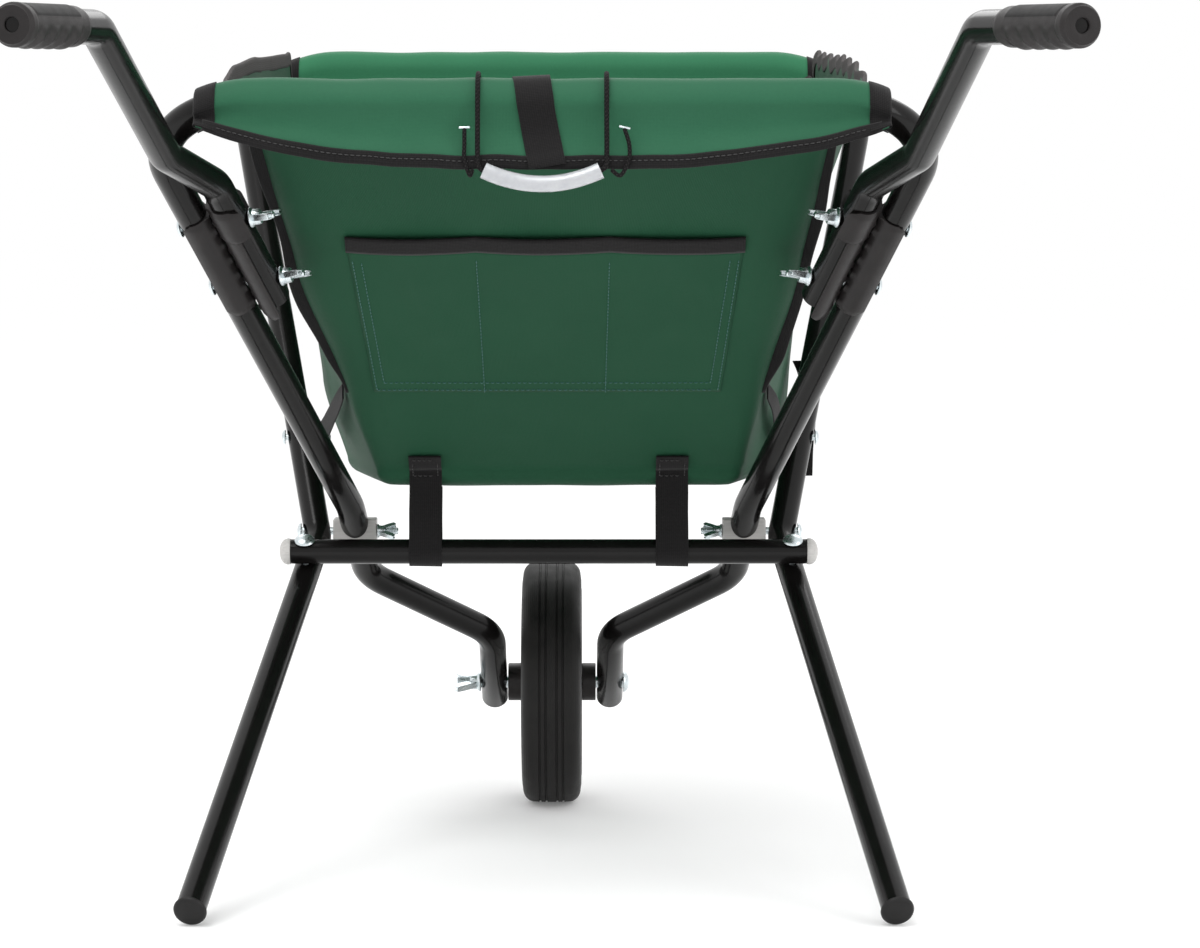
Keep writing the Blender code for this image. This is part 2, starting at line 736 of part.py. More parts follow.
def build_wheel():
    axle = rear_plane(0, 0)
    tread = [
        (-TYRE_HALF, RIM_R + 0.004),
        (-TYRE_HALF, WHEEL_R - 0.014),
        (-TYRE_HALF + 0.0022, WHEEL_R - 0.0055),
        (-TYRE_HALF + 0.0065, WHEEL_R - 0.0008),
        (-TYRE_HALF + 0.0105, WHEEL_R),
        (TYRE_HALF - 0.0105, WHEEL_R),
        (TYRE_HALF - 0.0065, WHEEL_R - 0.0008),
        (TYRE_HALF - 0.0022, WHEEL_R - 0.0055),
        (TYRE_HALF, WHEEL_R - 0.014),
        (TYRE_HALF, RIM_R + 0.004),
        (TYRE_HALF - 0.003, RIM_R),
        (-TYRE_HALF + 0.003, RIM_R),
    ]
    turned("tyre", tread, axle, (1, 0, 0), 40, RUBBER, axle, closed=True)
    edge = RIM_R - 0.0006
    half = TYRE_HALF - 0.0035
    rim = [
        (-half, edge),
        (half, edge),
        (half, edge - 0.0035),
        (0.0060, edge - 0.0060),
        (0.0038, edge - 0.0170),
        (0.0038, HUB_R + 0.0080),
        (0.0090, HUB_R + 0.0008),
        (TYRE_HALF, HUB_R),
        (TYRE_HALF, 0.0078),
        (-TYRE_HALF, 0.0078),
        (-TYRE_HALF, HUB_R),
        (-0.0090, HUB_R + 0.0008),
        (-0.0038, HUB_R + 0.0080),
        (-0.0038, edge - 0.0170),
        (-0.0060, edge - 0.0060),
        (-half, edge - 0.0035),
    ]
    turned("wheel_rim", rim, axle, (1, 0, 0), 32, RIM_WHITE, axle, closed=True)
    bush = [(-TYRE_HALF, 0.0075), (TYRE_HALF, 0.0075), (TYRE_HALF, 0.0054), (-TYRE_HALF, 0.0054)]
    turned("wheel_bush", bush, axle, (1, 0, 0), 14, CAP_GREY, axle, closed=True)
    gap = FORK_X - TUBE_R - 0.0006
    for word, side in sides():
        ring = [(TYRE_HALF + 0.0004, 0.0155), (gap, 0.0155), (gap, 0.0054), (TYRE_HALF + 0.0004, 0.0054)]
        turned("axle_spacer_" + word, ring, axle, (side, 0, 0), 20, PLASTIC, closed=True)
    head = axle + Vector((FORK_X + TUBE_R + GAP, 0, 0))
    length = 2 * (FORK_X + TUBE_R) + 0.0205
    bolt("axle_bolt", head, (-1, 0, 0), 0.0050, length, 0.0085, 0.0045)
    stand = axle - Vector((FORK_X + TUBE_R + GAP, 0, 0))
    wing_nut("axle_wing_nut", stand, (-1, 0, 0), math.radians(80), 0.0053, scale=1.35)


# ---------------------------------------------------------------- fabric


def bar_drop(x, corner_x, corner_r, lean):
    """How far the bent bar has dropped down its own plane at a distance x from the middle."""
    reach = corner_r * math.tan((math.pi / 2 + lean) / 2)
    over = abs(x) - (corner_x - reach)
    if over <= 0:
        return 0.0
    return corner_r - math.sqrt(corner_r**2 - over**2)


def hem(name, bar_at, flap_z, front_leg, sense, origin=None):
    """A fabric sleeve hooked over a bar, its long leg hanging as a flap on the outer side.

    bar_at gives the bar's centre at x, flap_z the flap's lower edge, sense the flap's side in y.
    """
    bm = bmesh.new()
    shares = (0.3, 0.6, 0.8, 0.86, 0.91, 0.955, 1)
    stations = [-HEM_HALF * t for t in reversed(shares)] + [0.0] + [HEM_HALF * t for t in shares]
    rings = []
    for x in stations:
        centre = bar_at(x)
        low = flap_z(x)
        outline = [(-sense * HEM_OUTER, centre.z - front_leg)]
        for k in range(7):
            angle = math.pi * k / 6
            outline.append(
                (-sense * HEM_OUTER * math.cos(angle), centre.z + HEM_OUTER * math.sin(angle))
            )
        outline.append((sense * (HEM_OUTER + 0.0008), (centre.z + low) / 2))
        outline.append((sense * (HEM_OUTER + 0.0004), low))
        outline.append((sense * (HEM_INNER + 0.0004), low))
        outline.append((sense * (HEM_INNER + 0.0008), (centre.z + low) / 2))
        for k in range(7):
            angle = math.pi * (6 - k) / 6
            outline.append(
                (-sense * HEM_INNER * math.cos(angle), centre.z + HEM_INNER * math.sin(angle))
            )
        outline.append((-sense * HEM_INNER, centre.z - front_leg))
        rings.append([bm.verts.new((x, centre.y + a, b)) for a, b in outline])
    for a, b in zip(rings, rings[1:]):
        bridge(bm, a, b)
    bm.faces.new(rings[0])
    bm.faces.new(rings[-1])
    bmesh.ops.triangulate(bm, faces=[f for f in bm.faces if len(f.verts) > 4])
    return finish(name, bm, FABRIC, origin)


def rear_bar_at(x):
    lean = math.atan((REAR_CORNER_X - SIDE_BEND[0]) / (REAR_BAR_S - SIDE_BEND[1]))
    return rear_plane(x, REAR_BAR_S - bar_drop(x, REAR_CORNER_X, REAR_CORNER_R, lean))


def front_bar_at(x):
    rise = FRONT_BAR[1] - LEG_BEND[2]
    run = FRONT_BAR[0] - LEG_BEND[1]
    length = math.hypot(rise, run)
    lean = math.atan((FRONT_CORNER_X - LEG_BEND[0]) / length)
    drop = bar_drop(x, FRONT_CORNER_X, 0.070, lean)
    return Vector((x, FRONT_BAR[0] - drop * run / length, FRONT_BAR[1] - drop * rise / length))


def rear_flap_z(x):
    return 0.5190 + 0.0270 * abs(x / HEM_HALF) ** 3.2


def front_flap_z(x):
    return 0.5660 + 0.0270 * abs(x / HEM_HALF) ** 3.2


def tub_section(u, inset):
    """The tub's rounded outline at a share u of its height, inset by the wall."""
    if u < TUB_SHOULDER:
        rear_y = TUB_REAR_LOW[0] + (TUB_REAR_MID[0] - TUB_REAR_LOW[0]) * u / TUB_SHOULDER
        rear_z = TUB_REAR_LOW[1] + (TUB_REAR_MID[1] - TUB_REAR_LOW[1]) * u / TUB_SHOULDER
    else:
        share = (u - TUB_SHOULDER) / (1 - TUB_SHOULDER)
        rear_y = TUB_REAR_MID[0] + (TUB_REAR_TOP[0] - TUB_REAR_MID[0]) * share
        rear_z = TUB_REAR_MID[1] + (TUB_REAR_TOP[1] - TUB_REAR_MID[1]) * share
    front_y = TUB_FRONT_LOW[0] + (TUB_FRONT_TOP[0] - TUB_FRONT_LOW[0]) * u
    front_z = TUB_FRONT_LOW[1] + (TUB_FRONT_TOP[1] - TUB_FRONT_LOW[1]) * u
    half_rear = TUB_HALF_REAR[0] + (TUB_HALF_REAR[1] - TUB_HALF_REAR[0]) * u - inset
    half_front = TUB_HALF_FRONT[0] + (TUB_HALF_FRONT[1] - TUB_HALF_FRONT[0]) * u - inset
    rear_y += inset * 1.3
    front_y -= inset * 1.15
    radius = 0.022 + 0.010 * (1 - u)
    points = []
    corners = (
        (1, 1, 0),
        (-1, 1, 90),
        (-1, -1, 180),
        (1, -1, 270),
    )
    for sx, sy, start in corners:
        cx = sx * ((half_front if sy > 0 else half_rear) - radius)
        cy = (front_y - radius) if sy > 0 else (rear_y + radius)
        for k in range(4):
            angle = math.radians(start + 30 * k)
            x = cx + radius * math.cos(angle)
            y = cy + radius * math.sin(angle)
            share = (y - rear_y) / (front_y - rear_y)
            points.append(Vector((x, y, rear_z + (front_z - rear_z) * share)))
    return points


def build_tub():
    levels = [(0.0, 0.010), (0.02, 0.003), (0.06, 0.0), (0.14, 0.0), (0.24, 0.0), (0.36, 0.0)]
    levels += [(0.52, 0.0), (0.72, 0.0), (TUB_SHOULDER, 0.0), (1.0, 0.0)]
    bm = bmesh.new()
    rings = []
    for u, inset in levels:
        rings.append([bm.verts.new(p) for p in tub_section(u, inset)])
    for u, inset in reversed(levels):
        lift = TUB_WALL if u < 0.05 else 0.0
        section = tub_section(u, inset + TUB_WALL)
        rings.append([bm.verts.new(p + Vector((0, 0, lift))) for p in section])
    for a, b in zip(rings, rings[1:]):
        bridge(bm, a, b)
    bm.faces.new(rings[0])
    bm.faces.new(rings[-1])
    bmesh.ops.triangulate(bm, faces=[f for f in bm.faces if len(f.verts) > 4])
    finish("tub", bm, FABRIC)


def panel_frame(share):
    """A point on the tub's rear face at a share of its height, and the face's outward normal."""
    low = Vector((0, TUB_REAR_LOW[0], TUB_REAR_LOW[1]))
    mid = Vector((0, TUB_REAR_MID[0], TUB_REAR_MID[1]))
    up = (mid - low).normalized()
    out = Vector((0, -up.z, up.y)).normalized()
    if out.y > 0:
        out = -out
    return low + (mid - low) * share, up, out


def build_pocket():
    """The patch pocket: a thin trapezoid on the rear face, and the webbing along its mouth."""
    low, up, out = panel_frame(POCKET_LOW)
    high, _, _ = panel_frame(POCKET_HIGH)
    thick = 0.0016
    clear = 0.0009
    for name, a, b, half_a, half_b, start, depth, material in (
        ("pocket_panel", low, high, 0.1295, 0.1415, clear, thick, FABRIC),
        (
            "pocket_binding",
            high + up * 0.0006,
            high + up * 0.0150,
            0.1418,
            0.1430,
            clear,
            thick + 0.0008,
            WEBBING,
        ),
    ):
        bm = bmesh.new()
        rings = []
        for depth_at in (start, start + depth):
            rings.append(
                [
                    bm.verts.new(a + out * depth_at + Vector((-half_a, 0, 0))),
                    bm.verts.new(a + out * depth_at + Vector((half_a, 0, 0))),
                    bm.verts.new(b + out * depth_at + Vector((half_b, 0, 0))),
                    bm.verts.new(b + out * depth_at + Vector((-half_b, 0, 0))),
                ]
            )
        bridge(bm, rings[0], rings[1])
        bm.faces.new(rings[0])
        bm.faces.new(rings[1])
        finish(name, bm, material)


def band(name, path, normals, x_at, width, thick, material, origin=None):
    """A flat webbing band: its inner face follows the path, thickened along the normals."""
    bm = bmesh.new()
    rings = []
    for i, (point, normal) in enumerate(zip(path, normals)):
        x = x_at(i / (len(path) - 1))
        inner = Vector((0, point[0], point[1]))
        outer = inner + Vector((0, normal[0], normal[1])) * thick
        rings.append(
            [
                bm.verts.new(inner + Vector((x - width / 2, 0, 0))),
                bm.verts.new(inner + Vector((x + width / 2, 0, 0))),
                bm.verts.new(outer + Vector((x + width / 2, 0, 0))),
                bm.verts.new(outer + Vector((x - width / 2, 0, 0))),
            ]
        )
    for a, b in zip(rings, rings[1:]):
        bridge(bm, a, b)
    bm.faces.new(rings[0])
    bm.faces.new(rings[-1])
    return finish(name, bm, material, origin)


def path_normals(path, sense):
    """Unit normals beside a path in the side view, on the side that sense picks."""
    normals = []
    for i in range(len(path)):
        a = path[max(i - 1, 0)]
        b = path[min(i + 1, len(path) - 1)]
        dy, dz = b[0] - a[0], b[1] - a[1]
        size = math.hypot(dy, dz)
        normals.append((-dz / size * sense, dy / size * sense))
    return normals


def build_straps():
    centre, _, _ = crossbar_frame()
    pivot = pivot_centre()
    _, up, out = panel_frame(0.0)
    radius = CROSSBAR_R + 0.0010
    hang, _, _ = panel_frame(0.075)
    start = hang + out * 0.0012
    low, _, _ = panel_frame(0.012)
    lower = low + out * 0.0016
    path = [(start.y, start.z), (lower.y, lower.z)]
    for k in range(9):
        angle = math.radians(154 + 201 * k / 8)
        path.append((centre.y + radius * math.cos(angle), centre.z + radius * math.sin(angle)))
    path.append((centre.y + radius + 0.0045, TUB_REAR_LOW[1] - 0.0020))
    normals = path_normals(path, -1)
    for word, side in sides():
        band(
            "strap_bottom_" + word,
            path,
            normals,
            lambda t, side=side: 0.0948 * side,
            WEB_WIDTH,
            WEB_THICK,
            WEBBING,
            pivot,
        )
    bar = rear_bar_at(0.0)
    path = []
    reach = HEM_OUTER + 0.0008
    for k in range(7):
        angle = math.radians(40 + 140 * k / 6)
        path.append((bar.y + reach * math.cos(angle), bar.z + reach * math.sin(angle)))
    path.append((bar.y - reach - 0.0008, bar.z - 0.018))
    path.append((bar.y - reach - 0.0008, rear_flap_z(0) + 0.004))
    normals = path_normals(path, -1)
    band(
        "strap_centre",
        path,
        normals,
        lambda t: -0.0075 + 0.0100 * t,
        WEB_WIDTH,
        WEB_THICK,
        WEBBING,
    )
    build_side_straps(pivot)


def build_side_straps(pivot):
    """A short webbing tie from the tub's lower rear corner out to the anchor bolt."""
    for word, side in sides():
        anchor = front_side_point(side, ANCHOR_Z)
        x_end = anchor.x - side * (FRONT_R + LEAN_GAP + 0.0040 + 3 * GAP)
        outer = Vector((x_end, anchor.y, anchor.z))
        seam, _, _ = panel_frame(0.27)
        inner = Vector((0.1690 * side, seam.y + 0.050, seam.z - 0.004))
        along = outer - inner
        bm = bmesh.new()
        rings = []
        half = 0.0085
        flat = Vector((side, 0, 0))
        for share, drop in ((0.0, 0.0), (0.35, 0.004), (0.7, 0.003), (0.86, 0.0)):
            point = inner + along * share - Vector((0, 0, drop))
            across = along.cross(flat).normalized()
            rings.append(
                [
                    bm.verts.new(point - across * half - flat * WEB_THICK),
                    bm.verts.new(point + across * half - flat * WEB_THICK),
                    bm.verts.new(point + across * half),
                    bm.verts.new(point - across * half),
                ]
            )
        for a, b in zip(rings, rings[1:]):
            bridge(bm, a, b)
        bm.faces.new(rings[0])
        bm.faces.new(rings[-1])
        finish("side_strap_" + word, bm, WEBBING, pivot)


def build_carry_handle():
    """The loop for carrying the folded barrow: a clear tube on two cords over the rear hem."""
    bar = rear_bar_at(0.0)
    hinge = bar
    back = bar.y - HEM_OUTER - 0.0008 - 0.0030
    half = 0.0390
    tube_z = 0.5170
    path = []
    for k in range(9):
        t = -1 + 2 * k / 8
        path.append(Vector((half * t, back - 0.0040, tube_z - 0.0090 * (1 - t * t))))
    rod("carry_grip", path, 0.0053, 12, CLEAR, hinge, cap_ends=0.002)
    for word, side in sides():
        x = (half + 0.0048) * side
        arc = HEM_OUTER + 0.0028
        route = []
        for angle in (62, 90, 125, 160):
            a = math.radians(angle)
            route.append(Vector((x, bar.y + arc * math.cos(a), bar.z + arc * math.sin(a))))
        route.append(Vector((x, back + 0.0003, bar.z - 0.012)))
        route.append(Vector((x, back - 0.0010, tube_z + 0.010)))
        route.append(Vector((x, back - 0.0040, tube_z - 0.0040)))
        rod("carry_cord_" + word, route, 0.0019, 8, WEBBING, hinge)


clear_scene()

GLOSS = make_material("gloss_black_paint", (0.012, 0.012, 0.013), 0.18)
PLASTIC = make_material("black_plastic", (0.022, 0.021, 0.021), 0.45)
RUBBER = make_material("black_rubber", (0.020, 0.020, 0.020), 0.62)
ZINC = make_material("zinc_plate", (0.62, 0.66, 0.68), 0.28, 1.0)
CAP_GREY = make_material("grey_plastic", (0.45, 0.44, 0.43), 0.50)
RIM_WHITE = make_material("pale_plastic", (0.55, 0.55, 0.54), 0.45)
FABRIC = make_material("green_fabric", (0.028, 0.130, 0.062), 0.75)
WEBBING = make_material("black_webbing", (0.014, 0.013, 0.014), 0.85)
CLEAR = make_material("clear_sleeve", (0.60, 0.62, 0.64), 0.15)
PLAIN = make_material("cutter", (0.8, 0.1, 0.1), 0.5)

build_rear_frame()
build_handles()
build_pivots()
build_wheel()
build_front_frame()
hem("hem_rear", rear_bar_at, rear_flap_z, 0.010, -1)
hem("hem_front", front_bar_at, front_flap_z, 0.010, 1, pivot_centre())
build_tub()
build_pocket()
build_straps()
build_carry_handle()
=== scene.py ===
"""Looks of the folding garden barrow: painted tube, moulded grips, zinc fasteners and sewn cloth.

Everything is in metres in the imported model's frame: +X right, +Y forward, +Z up.
"""

import json
import math

import bmesh
import bpy
from mathutils import Matrix, Vector, noise

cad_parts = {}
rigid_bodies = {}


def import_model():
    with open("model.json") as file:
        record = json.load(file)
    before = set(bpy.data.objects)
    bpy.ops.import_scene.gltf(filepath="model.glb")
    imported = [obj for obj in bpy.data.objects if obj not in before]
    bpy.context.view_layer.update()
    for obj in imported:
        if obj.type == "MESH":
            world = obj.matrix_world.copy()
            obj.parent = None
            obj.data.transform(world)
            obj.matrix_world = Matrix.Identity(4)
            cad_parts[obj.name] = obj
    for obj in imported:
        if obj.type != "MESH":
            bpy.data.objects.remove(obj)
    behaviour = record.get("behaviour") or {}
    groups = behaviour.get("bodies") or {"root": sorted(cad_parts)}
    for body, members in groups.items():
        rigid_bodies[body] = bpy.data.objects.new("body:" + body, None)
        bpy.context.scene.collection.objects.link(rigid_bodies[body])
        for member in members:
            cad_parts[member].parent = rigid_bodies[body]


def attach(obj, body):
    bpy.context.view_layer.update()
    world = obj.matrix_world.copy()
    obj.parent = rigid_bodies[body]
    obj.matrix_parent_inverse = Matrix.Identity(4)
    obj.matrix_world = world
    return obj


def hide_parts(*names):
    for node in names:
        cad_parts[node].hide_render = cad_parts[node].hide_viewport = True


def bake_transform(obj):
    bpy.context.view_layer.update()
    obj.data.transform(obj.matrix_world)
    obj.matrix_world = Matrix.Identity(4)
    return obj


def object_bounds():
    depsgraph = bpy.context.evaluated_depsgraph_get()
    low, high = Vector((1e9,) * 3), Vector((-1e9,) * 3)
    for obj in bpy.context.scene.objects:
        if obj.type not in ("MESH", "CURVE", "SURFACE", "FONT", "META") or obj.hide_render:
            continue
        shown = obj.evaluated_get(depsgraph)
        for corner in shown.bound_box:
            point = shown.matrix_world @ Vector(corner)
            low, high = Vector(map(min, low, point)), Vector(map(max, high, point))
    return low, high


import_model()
cad_low, cad_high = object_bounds()
bpy.context.scene.view_settings.view_transform = "Standard"

# Rear frame, as designed: a bent tube in a plane that slopes up to the rear.
TUBE_R = 0.0110
AXLE_Y = 0.3925
AXLE_Z = 0.1000
SLOPE = math.radians(36.4)
REAR_BAR_S = 0.779
REAR_CORNER_X = 0.276
REAR_CORNER_R = 0.063
PIVOT_S = 0.2375
SIDE_BEND = (0.1545, 0.274)
FORK_BEND_OUT = (0.1460, 0.173)
FORK_BEND_IN = (0.0485, 0.080)
FORK_X = 0.0480
FORK_END_S = -0.024

# Front frame.
FRONT_R = 0.0105
FRONT_BAR = (0.5503, 0.6130)
FRONT_CORNER_X = 0.273
FRONT_CORNER_R = 0.070
LEG_BEND_R = 0.035
LEAN_GAP = 0.0019
LEG_BEND = (0.1810, 0.1967, 0.2360)
LEG_END = (0.2430, -0.2034, 0.01066)
CROSSBAR_R = 0.0095
CROSSBAR_HALF = 0.2000
CROSSBAR_DOWN = 0.0498
ANCHOR_Z = 0.3110

# Handles and their clamps. The two handles differ a little at the grips: left, then right.
GRIP_END = ((0.3083, -0.5640, 0.5985), (0.3219, -0.5640, 0.5980))
HANDLE_UPPER = ((0.2749, -0.4300, 0.6035), (0.2749, -0.4300, 0.6035))
HANDLE_LOWER = (0.2520, -0.2470, 0.5274)
CLAMP_TOP_S = 0.682
CLAMP_LOW_S = 0.550
CLAMP_BOLT_S = (0.641, 0.571)
FRAME_SADDLE_S = (0.655, 0.548)
HANDLE_SADDLE_S = (0.664, 0.536)
HANDLE_OFFSET = 0.0272
GRIP_LENGTH = 0.100
GRIP_R = 0.0128

# Fasteners: the shanks' radii and how large each wing nut is beside the drawn one.
SHANK_R = 0.0030
AXLE_SHANK_R = 0.0050
CLAMP_WING = 1.10
PIVOT_WING = 0.84
AXLE_WING = 1.25

# Wheel.
WHEEL_R = 0.100
TYRE_HALF = 0.0245
RIM_R = 0.0700
HUB_R = 0.0165

# Fabric.
HEM_HALF = 0.232
HEM_R = 0.0162
CLOTH = 0.0009
WEB_WIDTH = 0.025
WEB_THICK = 0.0015
TUB_LOW_REAR = (0.1605, 0.2800)
TUB_HIGH_REAR = (-0.2128, 0.5870)
TUB_LOW_FRONT = (0.3355, 0.2800)
TUB_HIGH_FRONT = (0.5303, 0.6080)
POCKET_LOW = 0.275
POCKET_HIGH = 0.655

PIVOT = Vector((0.0, AXLE_Y - PIVOT_S * math.cos(SLOPE), AXLE_Z + PIVOT_S * math.sin(SLOPE)))


# ---------------------------------------------------------------- camera, stage and light


def build_camera():
    camera = bpy.data.objects.new("camera", bpy.data.cameras.new("camera"))
    camera.data.lens = 120
    camera.data.sensor_width = 36
    camera.location = (0.0325, -2.928, 0.4825)
    camera.rotation_euler = (math.radians(86.4), 0, math.radians(-0.129))
    bpy.context.scene.collection.objects.link(camera)
    bpy.context.scene.camera = camera


def add_area_light(name, location, target, size, power, colour=(1, 1, 1)):
    data = bpy.data.lights.new(name, "AREA")
    data.shape = "RECTANGLE"
    data.size, data.size_y = size
    data.energy = power
    data.color = colour
    light = bpy.data.objects.new(name, data)
    light.location = location
    aim = Vector(target) - Vector(location)
    light.rotation_euler = aim.to_track_quat("-Z", "Y").to_euler()
    bpy.context.scene.collection.objects.link(light)


def build_stage():
    world = bpy.data.worlds.new("studio")
    bpy.context.scene.world = world
    world.use_nodes = True
    background = world.node_tree.nodes["Background"]
    background.inputs["Color"].default_value = (1.0, 1.0, 1.0, 1)
    background.inputs["Strength"].default_value = 1.0
    bm = bmesh.new()
    bmesh.ops.create_circle(bm, cap_ends=True, radius=60, segments=64)
    mesh = bpy.data.meshes.new("floor")
    bm.to_mesh(mesh)
    bm.free()
    floor = bpy.data.objects.new("floor", mesh)
    bpy.context.scene.collection.objects.link(floor)
    floor.location.z = cad_low.z - 0.0005
    material = new_material(
        "studio_floor", (0.86, 0.86, 0.86), 0.8, specular_ior_level=0.0,
        emission_color=(1.0, 1.0, 1.0, 1.0), emission_strength=0.14,
    )
    mesh.materials.append(material)
    add_area_light("key", (-0.8, -1.2, 3.0), (0, 0, 0.3), (2.4, 1.8), 55)
    add_area_light("side", (2.6, -1.6, 1.6), (0, 0, 0.3), (1.0, 2.2), 22)
    add_area_light("back", (0.2, 2.6, 2.4), (0, 0, 0.4), (3.0, 1.2), 26)


# ---------------------------------------------------------------- materials


def new_material(name, colour, roughness, metallic=0.0, **more):
    material = bpy.data.materials.new(name)
    material.use_nodes = True
    shader = material.node_tree.nodes["Principled BSDF"]
    shader.inputs["Base Color"].default_value = (*colour, 1.0)
    shader.inputs["Roughness"].default_value = roughness
    shader.inputs["Metallic"].default_value = metallic
    for key, value in more.items():
        shader.inputs[key.replace("_", " ").title().replace("Ior", "IOR")].default_value = value
    return material


class Tree:
    """Short names for adding and joining a material's nodes."""

    def __init__(self, material):
        self.tree = material.node_tree
        self.shader = self.tree.nodes["Principled BSDF"]

    def node(self, kind, inputs=None, **settings):
        made = self.tree.nodes.new("ShaderNode" + kind)
        for key, value in settings.items():
            setattr(made, key, value)
        for key, value in (inputs or {}).items():
            if isinstance(value, bpy.types.NodeSocket):
                self.tree.links.new(value, made.inputs[key])
            else:
                made.inputs[key].default_value = value
        return made

    def to_shader(self, socket, name):
        self.tree.links.new(socket, self.shader.inputs[name])

    def mix(self, factor, a, b):
        made = self.node("Mix", data_type="RGBA")
        for index, value in ((0, factor), (6, a), (7, b)):
            if isinstance(value, bpy.types.NodeSocket):
                self.tree.links.new(value, made.inputs[index])
            else:
                made.inputs[index].default_value = value if index == 0 else (*value, 1.0)
        return made.outputs[2]

    def ramp(self, socket, low, high):
        made = self.node("MapRange", {"Value": socket, "To Min": low, "To Max": high})
        return made.outputs["Result"]

    def noise(self, coords, scale, detail=3.0, roughness=0.55):
        inputs = {"Vector": coords, "Scale": scale, "Detail": detail, "Roughness": roughness}
        return self.node("TexNoise", inputs).outputs["Fac"]

    def wave(self, coords, scale, direction, distortion=0.0, detail_scale=1.0):
        inputs = {
            "Vector": coords, "Scale": scale, "Distortion": distortion,
            "Detail Scale": detail_scale,
        }
        settings = {"bands_direction": direction, "wave_profile": "SIN"}
        return self.node("TexWave", inputs, **settings).outputs["Fac"]

    def math(self, operation, a, b):
        made = self.node("Math", operation=operation)
        for index, value in enumerate((a, b)):
            if isinstance(value, bpy.types.NodeSocket):
                self.tree.links.new(value, made.inputs[index])
            else:
                made.inputs[index].default_value = value
        return made.outputs[0]

    def bump(self, height, distance, strength=1.0):
        inputs = {"Height": height, "Distance": distance, "Strength": strength}
        self.to_shader(self.node("Bump", inputs).outputs["Normal"], "Normal")

    def objects(self):
        return self.node("TexCoord").outputs["Object"]

    def uvs(self):
        return self.node("TexCoord").outputs["UV"]


def painted_tube():
    """Thick gloss black paint: faint orange peel, dust and rubbed spots."""
    material = new_material(
        "gloss_black", (0.004, 0.004, 0.004), 0.2, specular_ior_level=0.16, coat_weight=0.12,
        coat_roughness=0.05,
    )
    t = Tree(material)
    coords = t.objects()
    dust = t.noise(coords, 38.0, 5.0)
    fine = t.noise(coords, 900.0, 2.0)
    t.to_shader(t.mix(dust, (0.0025, 0.0024, 0.0024), (0.0070, 0.0062, 0.0060)), "Base Color")
    t.to_shader(t.ramp(dust, 0.14, 0.30), "Roughness")
    peel = t.math(
        "ADD", t.math("MULTIPLY", t.noise(coords, 260.0, 2.0), 0.8), t.math("MULTIPLY", fine, 0.2),
    )
    t.bump(peel, 0.00025, 0.30)
    return material


def moulded(name, dark, light, roughness, grain=1400.0, depth=0.00012):
    """Moulded plastic or rubber with a fine grain and uneven sheen."""
    material = new_material(name, dark, roughness, specular_ior_level=0.22)
    t = Tree(material)
    coords = t.objects()
    cloud = t.noise(coords, 60.0, 4.0)
    t.to_shader(t.mix(cloud, dark, light), "Base Color")
    t.to_shader(
        t.ramp(t.noise(coords, 140.0, 3.0), roughness - 0.08, roughness + 0.12), "Roughness",
    )
    t.bump(t.noise(coords, grain, 2.0), depth, 0.6)
    return material


def zinc():
    """Bright zinc plating: bluish, with small crystals and darker patches."""
    material = new_material("zinc", (0.72, 0.78, 0.80), 0.25, 1.0)
    t = Tree(material)
    coords = t.objects()
    cells = t.node("TexVoronoi", {"Vector": coords, "Scale": 700.0}).outputs["Distance"]
    patches = t.noise(coords, 250.0, 4.0)
    t.to_shader(t.mix(patches, (0.50, 0.58, 0.62), (0.86, 0.90, 0.90)), "Base Color")
    t.to_shader(t.ramp(cells, 0.20, 0.42), "Roughness")
    t.bump(t.noise(coords, 1500.0, 3.0), 0.0001, 0.5)
    return material


def brushed_grey(name, dark, light):
    """Pale grey nylon with drawn streaks."""
    material = new_material(name, dark, 0.45)
    t = Tree(material)
    stretched = t.node(
        "Mapping", {"Vector": t.objects(), "Scale": (1.0, 14.0, 14.0)},
    ).outputs["Vector"]
    streak = t.noise(stretched, 70.0, 5.0)
    t.to_shader(t.mix(streak, dark, light), "Base Color")
    t.to_shader(t.ramp(streak, 0.34, 0.58), "Roughness")
    t.bump(streak, 0.00012, 0.5)
    return material


def tyre_rubber():
    """Tyre rubber: fine moulding rings round the wheel, dust in the pores."""
    material = new_material("tyre_rubber", (0.008, 0.008, 0.008), 0.55, specular_ior_level=0.2)
    t = Tree(material)
    coords = t.objects()
    dust = t.noise(coords, 90.0, 6.0)
    t.to_shader(t.mix(dust, (0.005, 0.005, 0.005), (0.020, 0.019, 0.018)), "Base Color")
    t.to_shader(t.ramp(dust, 0.40, 0.75), "Roughness")
    rings = t.wave(coords, 190.0, "X", 0.6, 3.0)
    t.bump(
        t.math("ADD", t.math("MULTIPLY", rings, 0.6), t.noise(coords, 800.0, 3.0)), 0.00022, 0.5,
    )
    return material


def oxford(name, dark, light):
    """Coated plain-weave cloth: a weave in the sewing direction, faint slubs and soft clouding."""
    material = new_material(
        name, dark, 0.62, sheen_weight=0.02, sheen_roughness=0.5, specular_ior_level=0.12,
    )
    t = Tree(material)
    coords = t.uvs()
    warp = t.wave(coords, 330.0, "X", 0.4, 3.0)
    weft = t.wave(coords, 330.0, "Y", 0.4, 3.0)
    weave = t.math("MULTIPLY", warp, weft)
    cloud = t.noise(coords, 9.0, 4.0)
    slub = t.noise(coords, 420.0, 3.0)
    tone = t.math("ADD", t.math("MULTIPLY", cloud, 0.55), t.math("MULTIPLY", slub, 0.45))
    t.to_shader(t.mix(tone, dark, light), "Base Color")
    t.to_shader(t.ramp(slub, 0.50, 0.74), "Roughness")
    height = t.math("ADD", weave, t.math("MULTIPLY", slub, 0.9))
    t.bump(height, 0.00014, 0.5)
    return material


